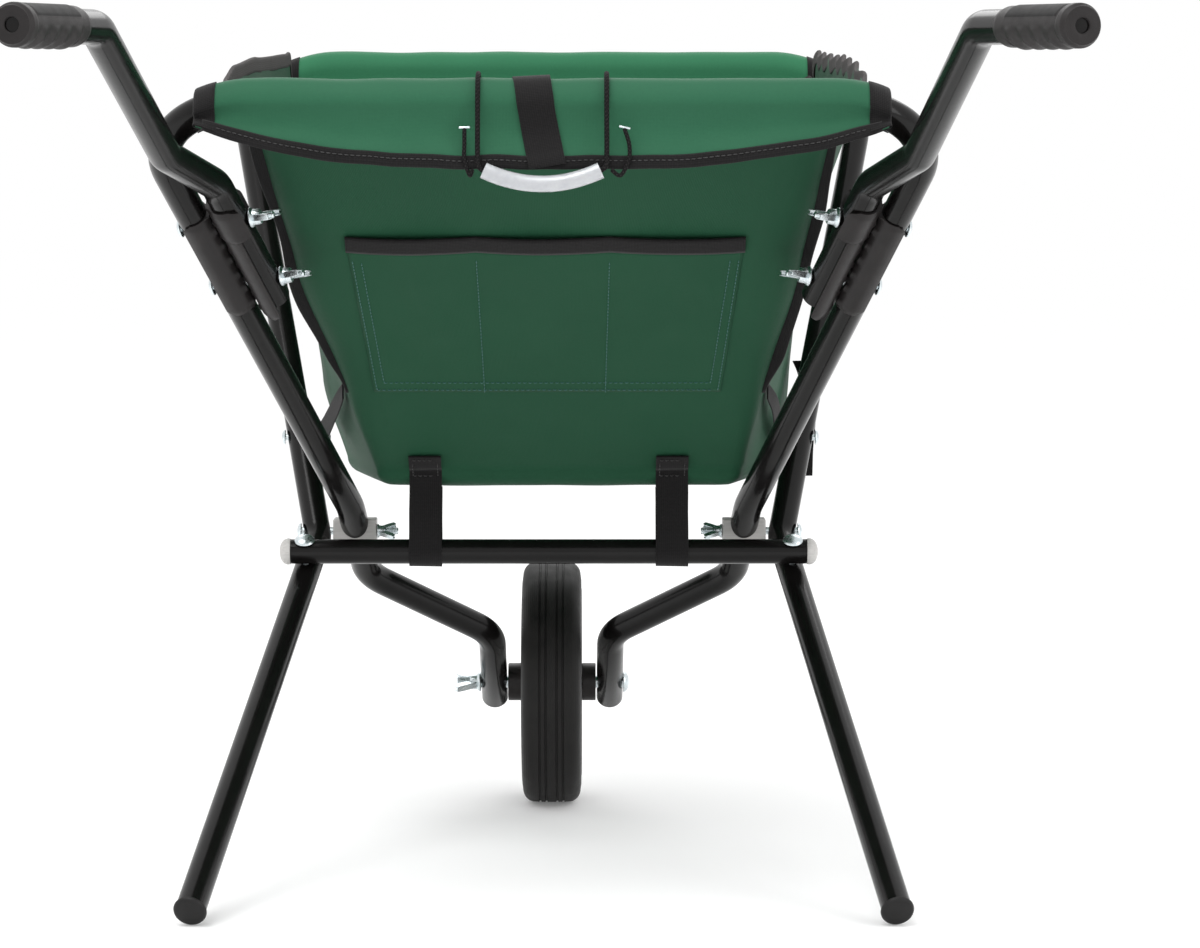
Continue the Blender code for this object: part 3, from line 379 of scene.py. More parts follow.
def woven_webbing(name, dark, light):
    """Woven tape: ribs across, cords along, and a slightly furry sheen."""
    material = new_material(
        name, dark, 0.82, sheen_weight=0.08, sheen_roughness=0.5, specular_ior_level=0.15,
    )
    t = Tree(material)
    coords = t.uvs()
    ribs = t.wave(coords, 290.0, "Y", 0.5, 3.0)
    cords = t.wave(coords, 210.0, "X", 0.0)
    fluff = t.noise(coords, 600.0, 3.0)
    weave = t.math("ADD", t.math("MULTIPLY", ribs, 0.7), t.math("MULTIPLY", cords, 0.6))
    t.to_shader(t.mix(t.math("MULTIPLY", weave, fluff), dark, light), "Base Color")
    t.bump(t.math("ADD", weave, fluff), 0.00018, 0.6)
    return material


def braided(name):
    """Round braided cord: two sets of strands crossing."""
    material = new_material(name, (0.006, 0.006, 0.006), 0.8, specular_ior_level=0.15)
    t = Tree(material)
    turned = t.node("Mapping", {"Vector": t.uvs(), "Rotation": (0, 0, 0.7)}).outputs["Vector"]
    strands = t.math("MULTIPLY", t.wave(turned, 160.0, "X"), t.wave(turned, 160.0, "Y"))
    t.to_shader(t.mix(strands, (0.004, 0.004, 0.004), (0.022, 0.019, 0.020)), "Base Color")
    t.bump(strands, 0.0004, 0.9)
    return material


def thread(name, dark, light):
    material = new_material(name, dark, 0.6, sheen_weight=0.2)
    t = Tree(material)
    fine = t.noise(t.objects(), 2600.0, 2.0)
    t.to_shader(t.mix(fine, dark, light), "Base Color")
    t.bump(fine, 0.0001, 0.6)
    return material


def clear_sleeve():
    """A clear vinyl hose, slightly hazy with handling marks."""
    material = new_material(
        "clear_vinyl", (0.86, 0.88, 0.92), 0.08, transmission_weight=0.55, ior=1.45,
        coat_weight=0.8,
    )
    t = Tree(material)
    haze = t.noise(t.objects(), 160.0, 4.0)
    t.to_shader(t.ramp(haze, 0.04, 0.22), "Roughness")
    t.to_shader(t.mix(haze, (0.66, 0.68, 0.72), (0.94, 0.95, 0.97)), "Base Color")
    t.bump(haze, 0.0002, 0.3)
    return material


# ---------------------------------------------------------------- mesh helpers


def finish(name, bm, material, body, replaced=(), smooth=40.0):
    """Makes the object, gives it its finish, and puts it on its body."""
    bmesh.ops.recalc_face_normals(bm, faces=bm.faces)
    return make_object(name, bm, material, body, replaced, smooth)


def make_object(name, bm, material, body, replaced=(), smooth=40.0):
    mesh = bpy.data.meshes.new(name)
    bm.to_mesh(mesh)
    bm.free()
    obj = bpy.data.objects.new(name, mesh)
    bpy.context.scene.collection.objects.link(obj)
    mesh.materials.append(material)
    mesh.shade_smooth()
    mesh.set_sharp_from_angle(angle=math.radians(smooth))
    if replaced:
        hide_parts(*replaced)
    if isinstance(body, str):
        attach(obj, body)
    return obj


def smoothstep(low, high, value):
    t = min(1.0, max(0.0, (value - low) / (high - low)))
    return t * t * (3 - 2 * t)


def lerp(a, b, t):
    return a + (b - a) * t


def through(points, value):
    """The y of a smooth curve through (x, y) points at x = value."""
    for (x0, y0), (x1, y1) in zip(points, points[1:]):
        if value <= x1:
            return lerp(y0, y1, smoothstep(x0, x1, value) * 0.4 + 0.6 * (value - x0) / (x1 - x0))
    return points[-1][1]


def rounded_path(corners, radii, steps):
    """The polyline through corners with an arc of the given radius at each inner one."""
    corners = [Vector(c) for c in corners]
    path = [corners[0]]
    for before, corner, after, radius, count in zip(
        corners, corners[1:], corners[2:], radii, steps,
    ):
        to_before = (before - corner).normalized()
        to_after = (after - corner).normalized()
        half = to_before.angle(to_after) / 2
        reach = radius / math.tan(half)
        centre = corner + (to_before + to_after).normalized() * (radius / math.sin(half))
        start = corner + to_before * reach - centre
        end = corner + to_after * reach - centre
        turn = start.angle(end)
        for i in range(count + 1):
            t = i / count
            a = math.sin((1 - t) * turn) / math.sin(turn)
            b = math.sin(t * turn) / math.sin(turn)
            path.append(centre + start * a + end * b)
    path.append(corners[-1])
    return path


def curve_through(points, steps):
    """A smooth curve through the points, with that many steps between each two."""
    points = [Vector(p) for p in points]
    out = []
    for i in range(len(points) - 1):
        a = points[max(i - 1, 0)]
        b, c = points[i], points[i + 1]
        d = points[min(i + 2, len(points) - 1)]
        for k in range(steps):
            t = k / steps
            square = (2 * a - 5 * b + 4 * c - d) * t * t
            cube = (3 * b - a - 3 * c + d) * t**3
            out.append(0.5 * (2 * b + (c - a) * t + square + cube))
    out.append(points[-1])
    return out


def path_frames(path, up=Vector((0, 0, 1))):
    """Tangent, normal and side at each point of a path, turned as little as possible."""
    frames = []
    normal = Vector(up)
    last = len(path) - 1
    for i, point in enumerate(path):
        a = path[max(i - 1, 0)]
        b = path[min(i + 1, last)]
        if 0 < i < last:
            tangent = ((point - a).normalized() + (b - point).normalized()).normalized()
        else:
            tangent = (b - a).normalized()
        if i == 0 and abs(normal.dot(tangent)) > 0.9:
            normal = Vector((0, 1, 0))
        normal = (normal - tangent * normal.dot(tangent)).normalized()
        frames.append((tangent, normal, tangent.cross(normal)))
    return frames


def sweep(bm, path, radii, sides, caps=True, uv_layer=None, up=Vector((0, 0, 1))):
    """A round tube along a path with a radius at each point."""
    rings = []
    along = 0.0
    distances = []
    for i, (point, (_, normal, side)) in enumerate(zip(path, path_frames(path, up))):
        if i:
            along += (point - path[i - 1]).length
        distances.append(along)
        ring = []
        for k in range(sides):
            angle = 2 * math.pi * k / sides
            offset = normal * math.cos(angle) + side * math.sin(angle)
            ring.append(bm.verts.new(point + offset * radii[i]))
        rings.append(ring)
    for i, (a, b) in enumerate(zip(rings, rings[1:])):
        for k in range(sides):
            after = (k + 1) % sides
            face = bm.faces.new((a[k], a[after], b[after], b[k]))
            if uv_layer is not None:
                girth = 2 * math.pi * radii[i] / sides
                corners = ((k, i), (k + 1, i), (k + 1, i + 1), (k, i + 1))
                for loop, (m, n) in zip(face.loops, corners):
                    loop[uv_layer].uv = (m * girth, distances[n])
    if caps:
        bm.faces.new(rings[0])
        bm.faces.new(rings[-1])
    return rings


def domed(path, radius, depth, both=(True, True)):
    """A path and radii whose chosen ends round off over a depth."""
    path = [Vector(p) for p in path]
    radii = [radius] * len(path)
    steps = (20, 40, 60, 80)
    if both[0]:
        out = (path[0] - path[1]).normalized()
        first = path[0]
        for angle in steps:
            a = math.radians(angle)
            path.insert(0, first + out * depth * math.sin(a))
            radii.insert(0, radius * math.cos(a))
    if both[1]:
        out = (path[-1] - path[-2]).normalized()
        last = path[-1]
        for angle in steps:
            a = math.radians(angle)
            path.append(last + out * depth * math.sin(a))
            radii.append(radius * math.cos(a))
    return path, radii


def tube(name, path, radius, material, body, replaced, ends=(0.0012, 0.0012), sides=40):
    bm = bmesh.new()
    path, radii = domed(path, radius, max(ends), (ends[0] > 0, ends[1] > 0))
    sweep(bm, path, radii, sides)
    return finish(name, bm, material, body, replaced)


def basis(axis, twist=0.0):
    w = Vector(axis).normalized()
    helper = Vector((0, 0, 1)) if abs(w.z) < 0.9 else Vector((0, 1, 0))
    u = w.cross(helper).normalized()
    u = Matrix.Rotation(twist, 3, w) @ u
    return u, w.cross(u), w


def facing(axis, direction):
    """The twist that lays a wing nut's wings along a direction."""
    u, v, _ = basis(axis)
    direction = Vector(direction)
    return math.atan2(direction.dot(v), direction.dot(u))


def add_turned(bm, profile, centre, axis, segments, closed=False):
    """A turned shape. Profile points are (along the axis, radius)."""
    u, v, w = basis(axis)
    centre = Vector(centre)
    rings = []
    for along, radius in profile:
        if radius < 1e-6:
            rings.append([bm.verts.new(centre + w * along)])
            continue
        ring = []
        for k in range(segments):
            angle = 2 * math.pi * k / segments
            spoke = u * math.cos(angle) + v * math.sin(angle)
            ring.append(bm.verts.new(centre + w * along + spoke * radius))
        rings.append(ring)
    pairs = list(zip(rings, rings[1:]))
    if closed:
        pairs.append((rings[-1], rings[0]))
    for a, b in pairs:
        for k in range(segments):
            after = (k + 1) % segments
            if len(a) == 1:
                bm.faces.new((a[0], b[k], b[after]))
            elif len(b) == 1:
                bm.faces.new((a[k], a[after], b[0]))
            else:
                bm.faces.new((a[k], a[after], b[after], b[k]))
    if not closed:
        for ring in (rings[0], rings[-1]):
            if len(ring) > 1:
                bm.faces.new(ring)


def turned(name, profile, centre, axis, material, body, slot, replaced, segments=48, closed=False):
    bm = bmesh.new()
    add_turned(bm, profile, centre, axis, segments, closed)
    return finish(name, bm, material, body, replaced, smooth=32.0)


def add_loft(bm, sections, close_ends=True):
    """Joins equal rings of points into a closed body."""
    rings = [[bm.verts.new(p) for p in section] for section in sections]
    count = len(rings[0])
    for a, b in zip(rings, rings[1:]):
        for k in range(count):
            after = (k + 1) % count
            bm.faces.new((a[k], a[after], b[after], b[k]))
    if close_ends:
        bm.faces.new(rings[0])
        bm.faces.new(rings[-1])
    return rings


def grid_cloth(name, rows, material, body, replaced=(), thick=CLOTH, wrap=False, turn=False):
    """Cloth from a grid of points, its weave running with the grid, thickened on both sides."""
    bm = bmesh.new()
    layer = bm.loops.layers.uv.new("weave")
    verts = [[bm.verts.new(p) for p in row] for row in rows]
    count = len(rows[0])
    across = [0.0]
    middle = rows[len(rows) // 2]
    for k in range(1, count + (1 if wrap else 0)):
        across.append(across[-1] + (middle[k % count] - middle[k - 1]).length)
    down = [0.0]
    for i in range(1, len(rows)):
        down.append(down[-1] + (rows[i][count // 2] - rows[i - 1][count // 2]).length)
    for i in range(len(rows) - 1):
        for k in range(count - (0 if wrap else 1)):
            order = ((i, k), (i, k + 1), (i + 1, k + 1), (i + 1, k))
            if turn:
                order = order[::-1]
            face = bm.faces.new([verts[m][n % count] for m, n in order])
            for loop, (m, n) in zip(face.loops, order):
                uv = (across[n], down[m])
                loop[layer].uv = uv
    obj = make_object(name, bm, material, body, replaced, 60.0)
    solid = obj.modifiers.new("cloth", "SOLIDIFY")
    solid.thickness = thick
    solid.offset = 0.0
    solid.use_even_offset = False
    return obj


def add_stitches(bm, path, normals, pitch=0.0040, share=0.68, radius=0.00038, lift=0.00035):
    """Thread stitches along a path: short raised loops that dive into the cloth at both ends."""
    lengths = [0.0]
    for a, b in zip(path, path[1:]):
        lengths.append(lengths[-1] + (b - a).length)

    def at(distance):
        for i in range(1, len(path)):
            if distance <= lengths[i] or i == len(path) - 1:
                t = (distance - lengths[i - 1]) / max(lengths[i] - lengths[i - 1], 1e-9)
                t = min(1.0, max(0.0, t))
                normal = normals[i - 1].lerp(normals[i], t).normalized()
                return path[i - 1].lerp(path[i], t), normal
        return path[-1], normals[-1]

    for index in range(int(lengths[-1] / pitch)):
        start = index * pitch
        line = []
        radii = []
        for t, height, size in (
            (0, -1.2, 0.5), (0.2, 0.5, 0.9), (0.5, 1.0, 1.0), (0.8, 0.5, 0.9), (1, -1.2, 0.5),
        ):
            point, normal = at(start + pitch * share * t)
            line.append(point + normal * lift * height)
            radii.append(radius * size)
        sweep(bm, line, radii, 6)


def stitches(name, lines, material, body, slot, **settings):
    bm = bmesh.new()
    for path, normals in lines:
        add_stitches(bm, path, normals, **settings)
    return finish(name, bm, material, body, smooth=80.0)


def mirrored(point, side):
    return Vector((point[0] * side, point[1], point[2]))


SIDES = (("left", -1), ("right", 1))


# ---------------------------------------------------------------- where things are


def rear_plane(x, s, n=0.0):
    """A point in the rear frame's plane: s up its slope from the axle, n in front of it."""
    y = AXLE_Y - s * math.cos(SLOPE) + n * math.sin(SLOPE)
    z = AXLE_Z + s * math.sin(SLOPE) + n * math.cos(SLOPE)
    return Vector((x, y, z))


def rear_frame_path():
    half = [
        (FORK_X, FORK_END_S), FORK_BEND_IN, FORK_BEND_OUT, SIDE_BEND, (REAR_CORNER_X, REAR_BAR_S),
    ]
    corners = [rear_plane(-x, s) for x, s in half] + [rear_plane(x, s) for x, s in reversed(half)]
    radii = [0.042, 0.045, 0.10, REAR_CORNER_R]
    steps = [12, 12, 8, 24]
    return rounded_path(corners, radii + radii[::-1], steps + steps[::-1])


def tube_point(side, s):
    share = (s - SIDE_BEND[1]) / (REAR_BAR_S - SIDE_BEND[1])
    return rear_plane(lerp(SIDE_BEND[0], REAR_CORNER_X, share) * side, s)


def clamp_axes(side):
    """Axes at a handle clamp: inboard across the tubes, out of the frame's plane, and down."""
    down = (tube_point(side, SIDE_BEND[1]) - tube_point(side, REAR_BAR_S)).normalized()
    normal = Vector((0, math.sin(SLOPE), math.cos(SLOPE)))
    inboard = normal.cross(down).normalized()
    if inboard.x * side > 0:
        inboard = -inboard
    return inboard, normal, down


def handle_end(side):
    """The end of the grip and the bend before it."""
    which = 0 if side < 0 else 1
    return mirrored(GRIP_END[which], side), mirrored(HANDLE_UPPER[which], side)


def handle_path(side):
    inboard, _, _ = clamp_axes(side)
    end, elbow = handle_end(side)
    toward = (elbow - end).normalized()
    corners = [
        end + toward * 0.0030, elbow, mirrored(HANDLE_LOWER, side),
        tube_point(side, CLAMP_TOP_S) + inboard * HANDLE_OFFSET,
        tube_point(side, CLAMP_LOW_S) + inboard * HANDLE_OFFSET,
    ]
    return rounded_path(corners, [0.040, 0.045, 0.035], [16, 14, 12])


def front_side_point(side, z):
    share = (z - LEG_BEND[2]) / (FRONT_BAR[1] - LEG_BEND[2])
    x = lerp(LEG_BEND[0], FRONT_CORNER_X, share)
    return Vector((x * side, lerp(LEG_BEND[1], FRONT_BAR[0], share), z))


def front_frame_path():
    corners = []
    for side in (-1, 1):
        half = [
            mirrored(LEG_END, side), mirrored(LEG_BEND, side),
            Vector((FRONT_CORNER_X * side, FRONT_BAR[0], FRONT_BAR[1])),
        ]
        corners += half if side < 0 else half[::-1]
    return rounded_path(
        corners, [LEG_BEND_R, FRONT_CORNER_R, FRONT_CORNER_R, LEG_BEND_R], [12, 24, 24, 12],
    )


def crossbar_frame():
    """The crossbar's centre, the point of the leg under it and the bolts' direction."""
    bend, end = Vector(LEG_BEND), Vector(LEG_END)
    down = (end - bend).normalized()
    flat = Vector((0, down.y, down.z)).normalized()
    rearward = Vector((0, flat.z, -flat.y))
    seat = bend + down * (CROSSBAR_DOWN / math.hypot(down.y, down.z))
    centre = Vector((0, seat.y, seat.z)) + rearward * (FRONT_R + CROSSBAR_R + 0.0006)
    return centre, seat, rearward


def bar_drop(x, corner_x, corner_r, lean):
    reach = corner_r * math.tan((math.pi / 2 + lean) / 2)
    over = abs(x) - (corner_x - reach)
    if over <= 0:
        return 0.0
    return corner_r - math.sqrt(corner_r**2 - over**2)


def rear_bar_at(x):
    lean = math.atan((REAR_CORNER_X - SIDE_BEND[0]) / (REAR_BAR_S - SIDE_BEND[1]))
    return rear_plane(x, REAR_BAR_S - bar_drop(x, REAR_CORNER_X, REAR_CORNER_R, lean))


def front_bar_at(x):
    rise = FRONT_BAR[1] - LEG_BEND[2]
    run = FRONT_BAR[0] - LEG_BEND[1]
    length = math.hypot(rise, run)
    lean = math.atan((FRONT_CORNER_X - LEG_BEND[0]) / length)
    drop = bar_drop(x, FRONT_CORNER_X, FRONT_CORNER_R, lean)
    return Vector((x, FRONT_BAR[0] - drop * run / length, FRONT_BAR[1] - drop * rise / length))


# ---------------------------------------------------------------- tubes and plastics


def build_tubes():
    tube(
        "rear_frame", rear_frame_path(), TUBE_R, GLOSS, "rear_frame",
        ["rear_frame_tube"], ends=(0.0045, 0.0045),
    )
    tube(
        "front_frame", front_frame_path(), FRONT_R, GLOSS, "front_frame",
        ["front_frame_tube"],
    )
    centre, _, _ = crossbar_frame()
    half = Vector((CROSSBAR_HALF, 0, 0))
    tube(
        "crossbar", [centre - half, centre + half], CROSSBAR_R, GLOSS, "front_frame",
        ["crossbar_tube"], ends=(0.0006, 0.0006),
    )
    for word, side in SIDES:
        tube(
            "handle_" + word, handle_path(side), TUBE_R, GLOSS, "rear_frame",
            ["handle_tube_" + word],
        )
        cap = [(-0.0012, CROSSBAR_R + 0.0004), (0.0003, CROSSBAR_R + 0.0007)]
        cap += [(0.0016, CROSSBAR_R + 0.0006)]
        for k in range(1, 7):
            angle = math.radians(15 * k)
            cap.append(
                (0.0016 + 0.0058 * math.sin(angle), (CROSSBAR_R + 0.0004) * math.cos(angle))
            )
        cap[-1] = (cap[-1][0], 0.0)
        turned(
            "crossbar_end_" + word, cap, centre + half * side, (side, 0, 0), GREY, "front_frame",
            "grey_plastic", ["crossbar_cap_" + word],
        )
        build_foot(word, side)
        build_grip(word, side)
        build_clamp(word, side)
        build_pivot(word, side)


def build_foot(word, side):
    """The rim of the plug in the leg's end, with a worn, rounded sole."""
    end = mirrored(LEG_END, side)
    up = (mirrored(LEG_BEND, side) - end).normalized()
    profile = [(-0.0031, 0.0), (-0.0031, 0.0086), (-0.0028, 0.0101), (-0.0018, 0.0112)]
    profile += [(-0.0006, 0.0117), (0.0003, 0.0117), (0.0010, 0.0112), (0.0013, 0.0104)]
    turned(
        "foot_" + word, profile, end, up, FOOT, "front_frame", "black_plastic",
        ["foot_cap_" + word],
    )


def grip_radius(along, angle):
    """The grip's radius: end bead, four finger swells underneath, a raised palm panel above."""
    radius = GRIP_R
    radius *= 0.90 + 0.10 * smoothstep(0.0, 0.0030, along)
    radius += 0.0007 * (smoothstep(0.002, 0.0035, along) - smoothstep(0.0095, 0.0110, along))
    below = max(0.0, -math.sin(angle)) ** 0.6
    if 0.013 < along < 0.085:
        wave = 0.5 - 0.5 * math.cos(2 * math.pi * (along - 0.0130) / 0.0180)
        radius += (0.0022 * wave - 0.0008) * below
    above = smoothstep(0.35, 0.50, math.sin(angle))
    panel = smoothstep(0.012, 0.0135, along) - smoothstep(0.0835, 0.085, along)
    radius += 0.0005 * above * panel
    radius -= 0.0010 * smoothstep(GRIP_LENGTH - 0.0050, GRIP_LENGTH, along)
    return radius


def build_grip(word, side):
    end, elbow = handle_end(side)
    toward = (elbow - end).normalized()
    up = (Vector((0, 0, 1)) - toward * toward.z).normalized()
    across = toward.cross(up)
    count = 72
    bm = bmesh.new()
    sections = []
    for i in range(109):
        along = GRIP_LENGTH * i / 108
        ring = []
        for k in range(count):
            angle = 2 * math.pi * k / count
            radius = grip_radius(along, angle)
            spoke = across * math.cos(angle) + up * math.sin(angle)
            ring.append(end + toward * along + spoke * radius)
        sections.append(ring)
    for along, radius in (
        (GRIP_LENGTH, TUBE_R + 0.0003), (0.0030, TUBE_R + 0.0003), (0.0090, 0.0046),
        (0.0006, 0.0046), (0.0, 0.0051), (-0.0002, 0.0062), (0.0, 0.0085),
    ):
        ring = []
        for k in range(count):
            angle = 2 * math.pi * k / count
            spoke = across * math.cos(angle) + up * math.sin(angle)
            ring.append(end + toward * along + spoke * radius)
        sections.append(ring)
    sections.append(sections[0])
    rings = add_loft(bm, sections, close_ends=False)
    bmesh.ops.remove_doubles(bm, verts=rings[0] + rings[-1], dist=0.00001)
    grip = finish(
        "handle_grip_" + word, bm, RUBBER, "rear_frame", ["grip_" + word], 35.0,
    )
    grip.data.materials.append(GRIP_PANEL)
    for face in grip.data.polygons:
        offset = face.center - end
        along = offset.dot(toward)
        radial = (offset - toward * along).normalized()
        if radial.dot(up) > 0.42 and 0.0128 < along < 0.0842:
            face.material_index = 1


def shell_section(centre, out, normal, start, stop, radius, thick, land):
    """A C-shaped section round a tube, with a flat land where it faces the other tube."""
    points = []
    steps = 22
    for k in range(steps + 1):
        angle = math.radians(lerp(start, stop, k / steps))
        reach = radius + thick
        if abs(math.degrees(angle)) < 26:
            reach = max(reach, land / math.cos(angle))
        points.append(centre + out * math.cos(angle) * reach + normal * math.sin(angle) * reach)
    for k in range(steps + 1):
        angle = math.radians(lerp(stop, start, k / steps))
        points.append(centre + out * math.cos(angle) * radius + normal * math.sin(angle) * radius)
    return points


def build_clamp(word, side):
    """Two moulded half shells, one on each tube, bolted face to face."""
    inboard, normal, down = clamp_axes(side)
    mid = HANDLE_OFFSET / 2
    inner = TUBE_R + 0.0002
    shells = (
        ("frame", 0.0, 1, FRAME_SADDLE_S, (-122, 122)),
        ("handle", HANDLE_OFFSET, -1, HANDLE_SADDLE_S, (-100, 100)),
    )
    for kind, base, sense, (top_s, low_s), (start, stop) in shells:
        top = tube_point(side, top_s) + inboard * base
        low = tube_point(side, low_s) + inboard * base
        length = (low - top).length
        bm = bmesh.new()
        sections = []
        count = 60
        for i in range(count + 1):
            along = length * i / count
            near_end = min(along, length - along)
            round_off = 1.0 - (1.0 - smoothstep(0.0, 0.0070, near_end)) ** 2 * 0.55
            collar = 1.0 - smoothstep(0.0330, 0.0335, along) if kind == "handle" else 0.0
            thick = (0.0019 + 0.0008 * collar) * round_off
            rib = 0.5 + 0.5 * math.cos(2 * math.pi * along / 0.0175)
            land = lerp(inner + 0.0008, mid - 0.0003, smoothstep(0.55, 0.75, rib))
            spread = 1.0 + 0.38 * collar
            centre = top + down * along
            section = shell_section(
                centre, inboard * sense, normal, start * spread * lerp(0.55, 1.0, round_off),
                stop * spread * lerp(0.55, 1.0, round_off), inner, thick, land,
            )
            sections.append(section)
        add_loft(bm, sections)
        finish(
            "saddle_%s_%s" % (kind, word), bm, PLASTIC, "rear_frame",
            ["clamp_saddle_%s_%s" % (kind, word)], 28.0,
        )
    reach = TUBE_R * 2 + HANDLE_OFFSET + 0.0086 + 0.0095
    for level, s, rise in zip(("upper", "lower"), CLAMP_BOLT_S, (0.10, -0.06)):
        centre = tube_point(side, s)
        tag = "%s_%s" % (level, word)
        seat = centre - inboard * (TUBE_R + 0.0003)
        bolt(
            "clamp_screw_" + tag, seat, inboard, SHANK_R, reach, 0.0068, 0.0034, "rear_frame",
            ["clamp_bolt_" + tag],
        )
        stand = centre + inboard * (HANDLE_OFFSET + TUBE_R + 0.0003)
        wing_nut(
            "clamp_wing_" + tag, stand, inboard, facing(inboard, (0, 1, rise)), SHANK_R,
            "rear_frame", ["clamp_wing_nut_" + tag], CLAMP_WING,
        )


# ---------------------------------------------------------------- fasteners


def bolt(name, seat, axis, shank, length, head_r, head_h, body, replaced):
    """A domed bolt with a rolled thread over the last stretch of its shank."""
    profile = []
    for k in range(9):
        angle = math.radians(90 - 10 * k)
        profile.append((-head_h * math.sin(angle), head_r * math.cos(angle)))
    profile[0] = (-head_h, 0.0)
    profile.append((-head_h * 0.10, head_r))
    profile.append((0.0, head_r * 0.97))
    profile.append((0.0, shank))
    threaded = min(length * 0.6, 0.024)
    pitch = 0.0010
    along = length - threaded
    while along < length - 0.0012:
        profile.append((along, shank))
        profile.append((along + pitch * 0.5, shank - 0.00045))
        along += pitch
    profile.append((length - 0.0010, shank - 0.0002))
    profile.append((length, shank - 0.0010))
    profile.append((length, 0.0))
    turned(name, profile, seat, axis, ZINC, body, "zinc_plate", replaced, 32)


def hex_nut(name, seat, axis, corner_r, height, bore, body, replaced):
    """A hexagon nut with chamfered corners and a threaded bore."""
    u, v, w = basis(axis)
    count = 48
    rows = []
    flat_r = corner_r * math.cos(math.pi / 6)
    for share, limit in ((0.0, 0.93), (0.12, 1.0), (0.88, 1.0), (1.0, 0.93)):
        row = []
        for k in range(count):
            angle = 2 * math.pi * k / count
            to_flat = (angle + math.pi / 6) % (math.pi / 3) - math.pi / 6
            radius = min(flat_r / math.cos(to_flat), corner_r * limit)
            row.append((share * height, radius, angle))
        rows.append(row)
    for share in (1.0, 0.0):
        rows.append([(share * height, bore, 2 * math.pi * k / count) for k in range(count)])
    rows.append(rows[0])
    sections = []
    for row in rows:
        sections.append(
            [Vector(seat) + w * a + (u * math.cos(t) + v * math.sin(t)) * r for a, r, t in row]
        )
    bm = bmesh.new()
    rings = add_loft(bm, sections, close_ends=False)
    bmesh.ops.remove_doubles(bm, verts=rings[0] + rings[-1], dist=0.000001)
    finish(name, bm, ZINC, body, replaced, 25.0)


def wing_section(point, across, up, width, height, wall):
    """A folded wing's section: two walls joined along one edge, open on the other."""
    half = width / 2
    outline = (
        (-half, 0.0), (-half, height), (-half + wall, height), (-half + wall, wall),
        (half - wall, wall), (half - wall, height), (half, height), (half, 0.0),
    )
    return [point + across * a + up * b for a, b in outline]


def wing_nut(name, seat, axis, twist, bore, body, replaced, scale=1.0):
    """A pressed wing nut: a drawn hub and two folded wings that lean out from it."""
    u, _, w = basis(axis, twist)
    seat = Vector(seat)
    bm = bmesh.new()
    hub = [
        (0.0, 0.0062), (0.0008, 0.0066), (0.0016, 0.0062), (0.0024, 0.0052), (0.0068, 0.0049),
        (0.0074, 0.0045), (0.0074, bore / scale), (0.0, bore / scale),
    ]
    add_turned(bm, [(a * scale, r * scale) for a, r in hub], seat, w, 40, closed=True)
    for out in (u, -u):
        across = w.cross(out)
        sections = []
        stations = (
            (0.0042, 0.0014, 0.0034, 0.0030), (0.0056, 0.0024, 0.0038, 0.0046),
            (0.0086, 0.0064, 0.0040, 0.0056), (0.0116, 0.0106, 0.0040, 0.0058),
            (0.0136, 0.0136, 0.0038, 0.0052), (0.0146, 0.0152, 0.0034, 0.0036),
        )
        for reach, rise, width, height in stations:
            lean = (w * 0.62 - out * 0.78).normalized()
            point = seat + (out * reach + w * rise) * scale
            sections.append(
                wing_section(point, across, lean, width * scale, height * scale, 0.0009 * scale)
            )
        add_loft(bm, sections)
    obj = finish(name, bm, ZINC, body, replaced, 32.0)
    bevel = obj.modifiers.new("edges", "BEVEL")
    bevel.width = 0.00025
    bevel.segments = 2
    bevel.limit_method = "ANGLE"
    bevel.angle_limit = math.radians(40)


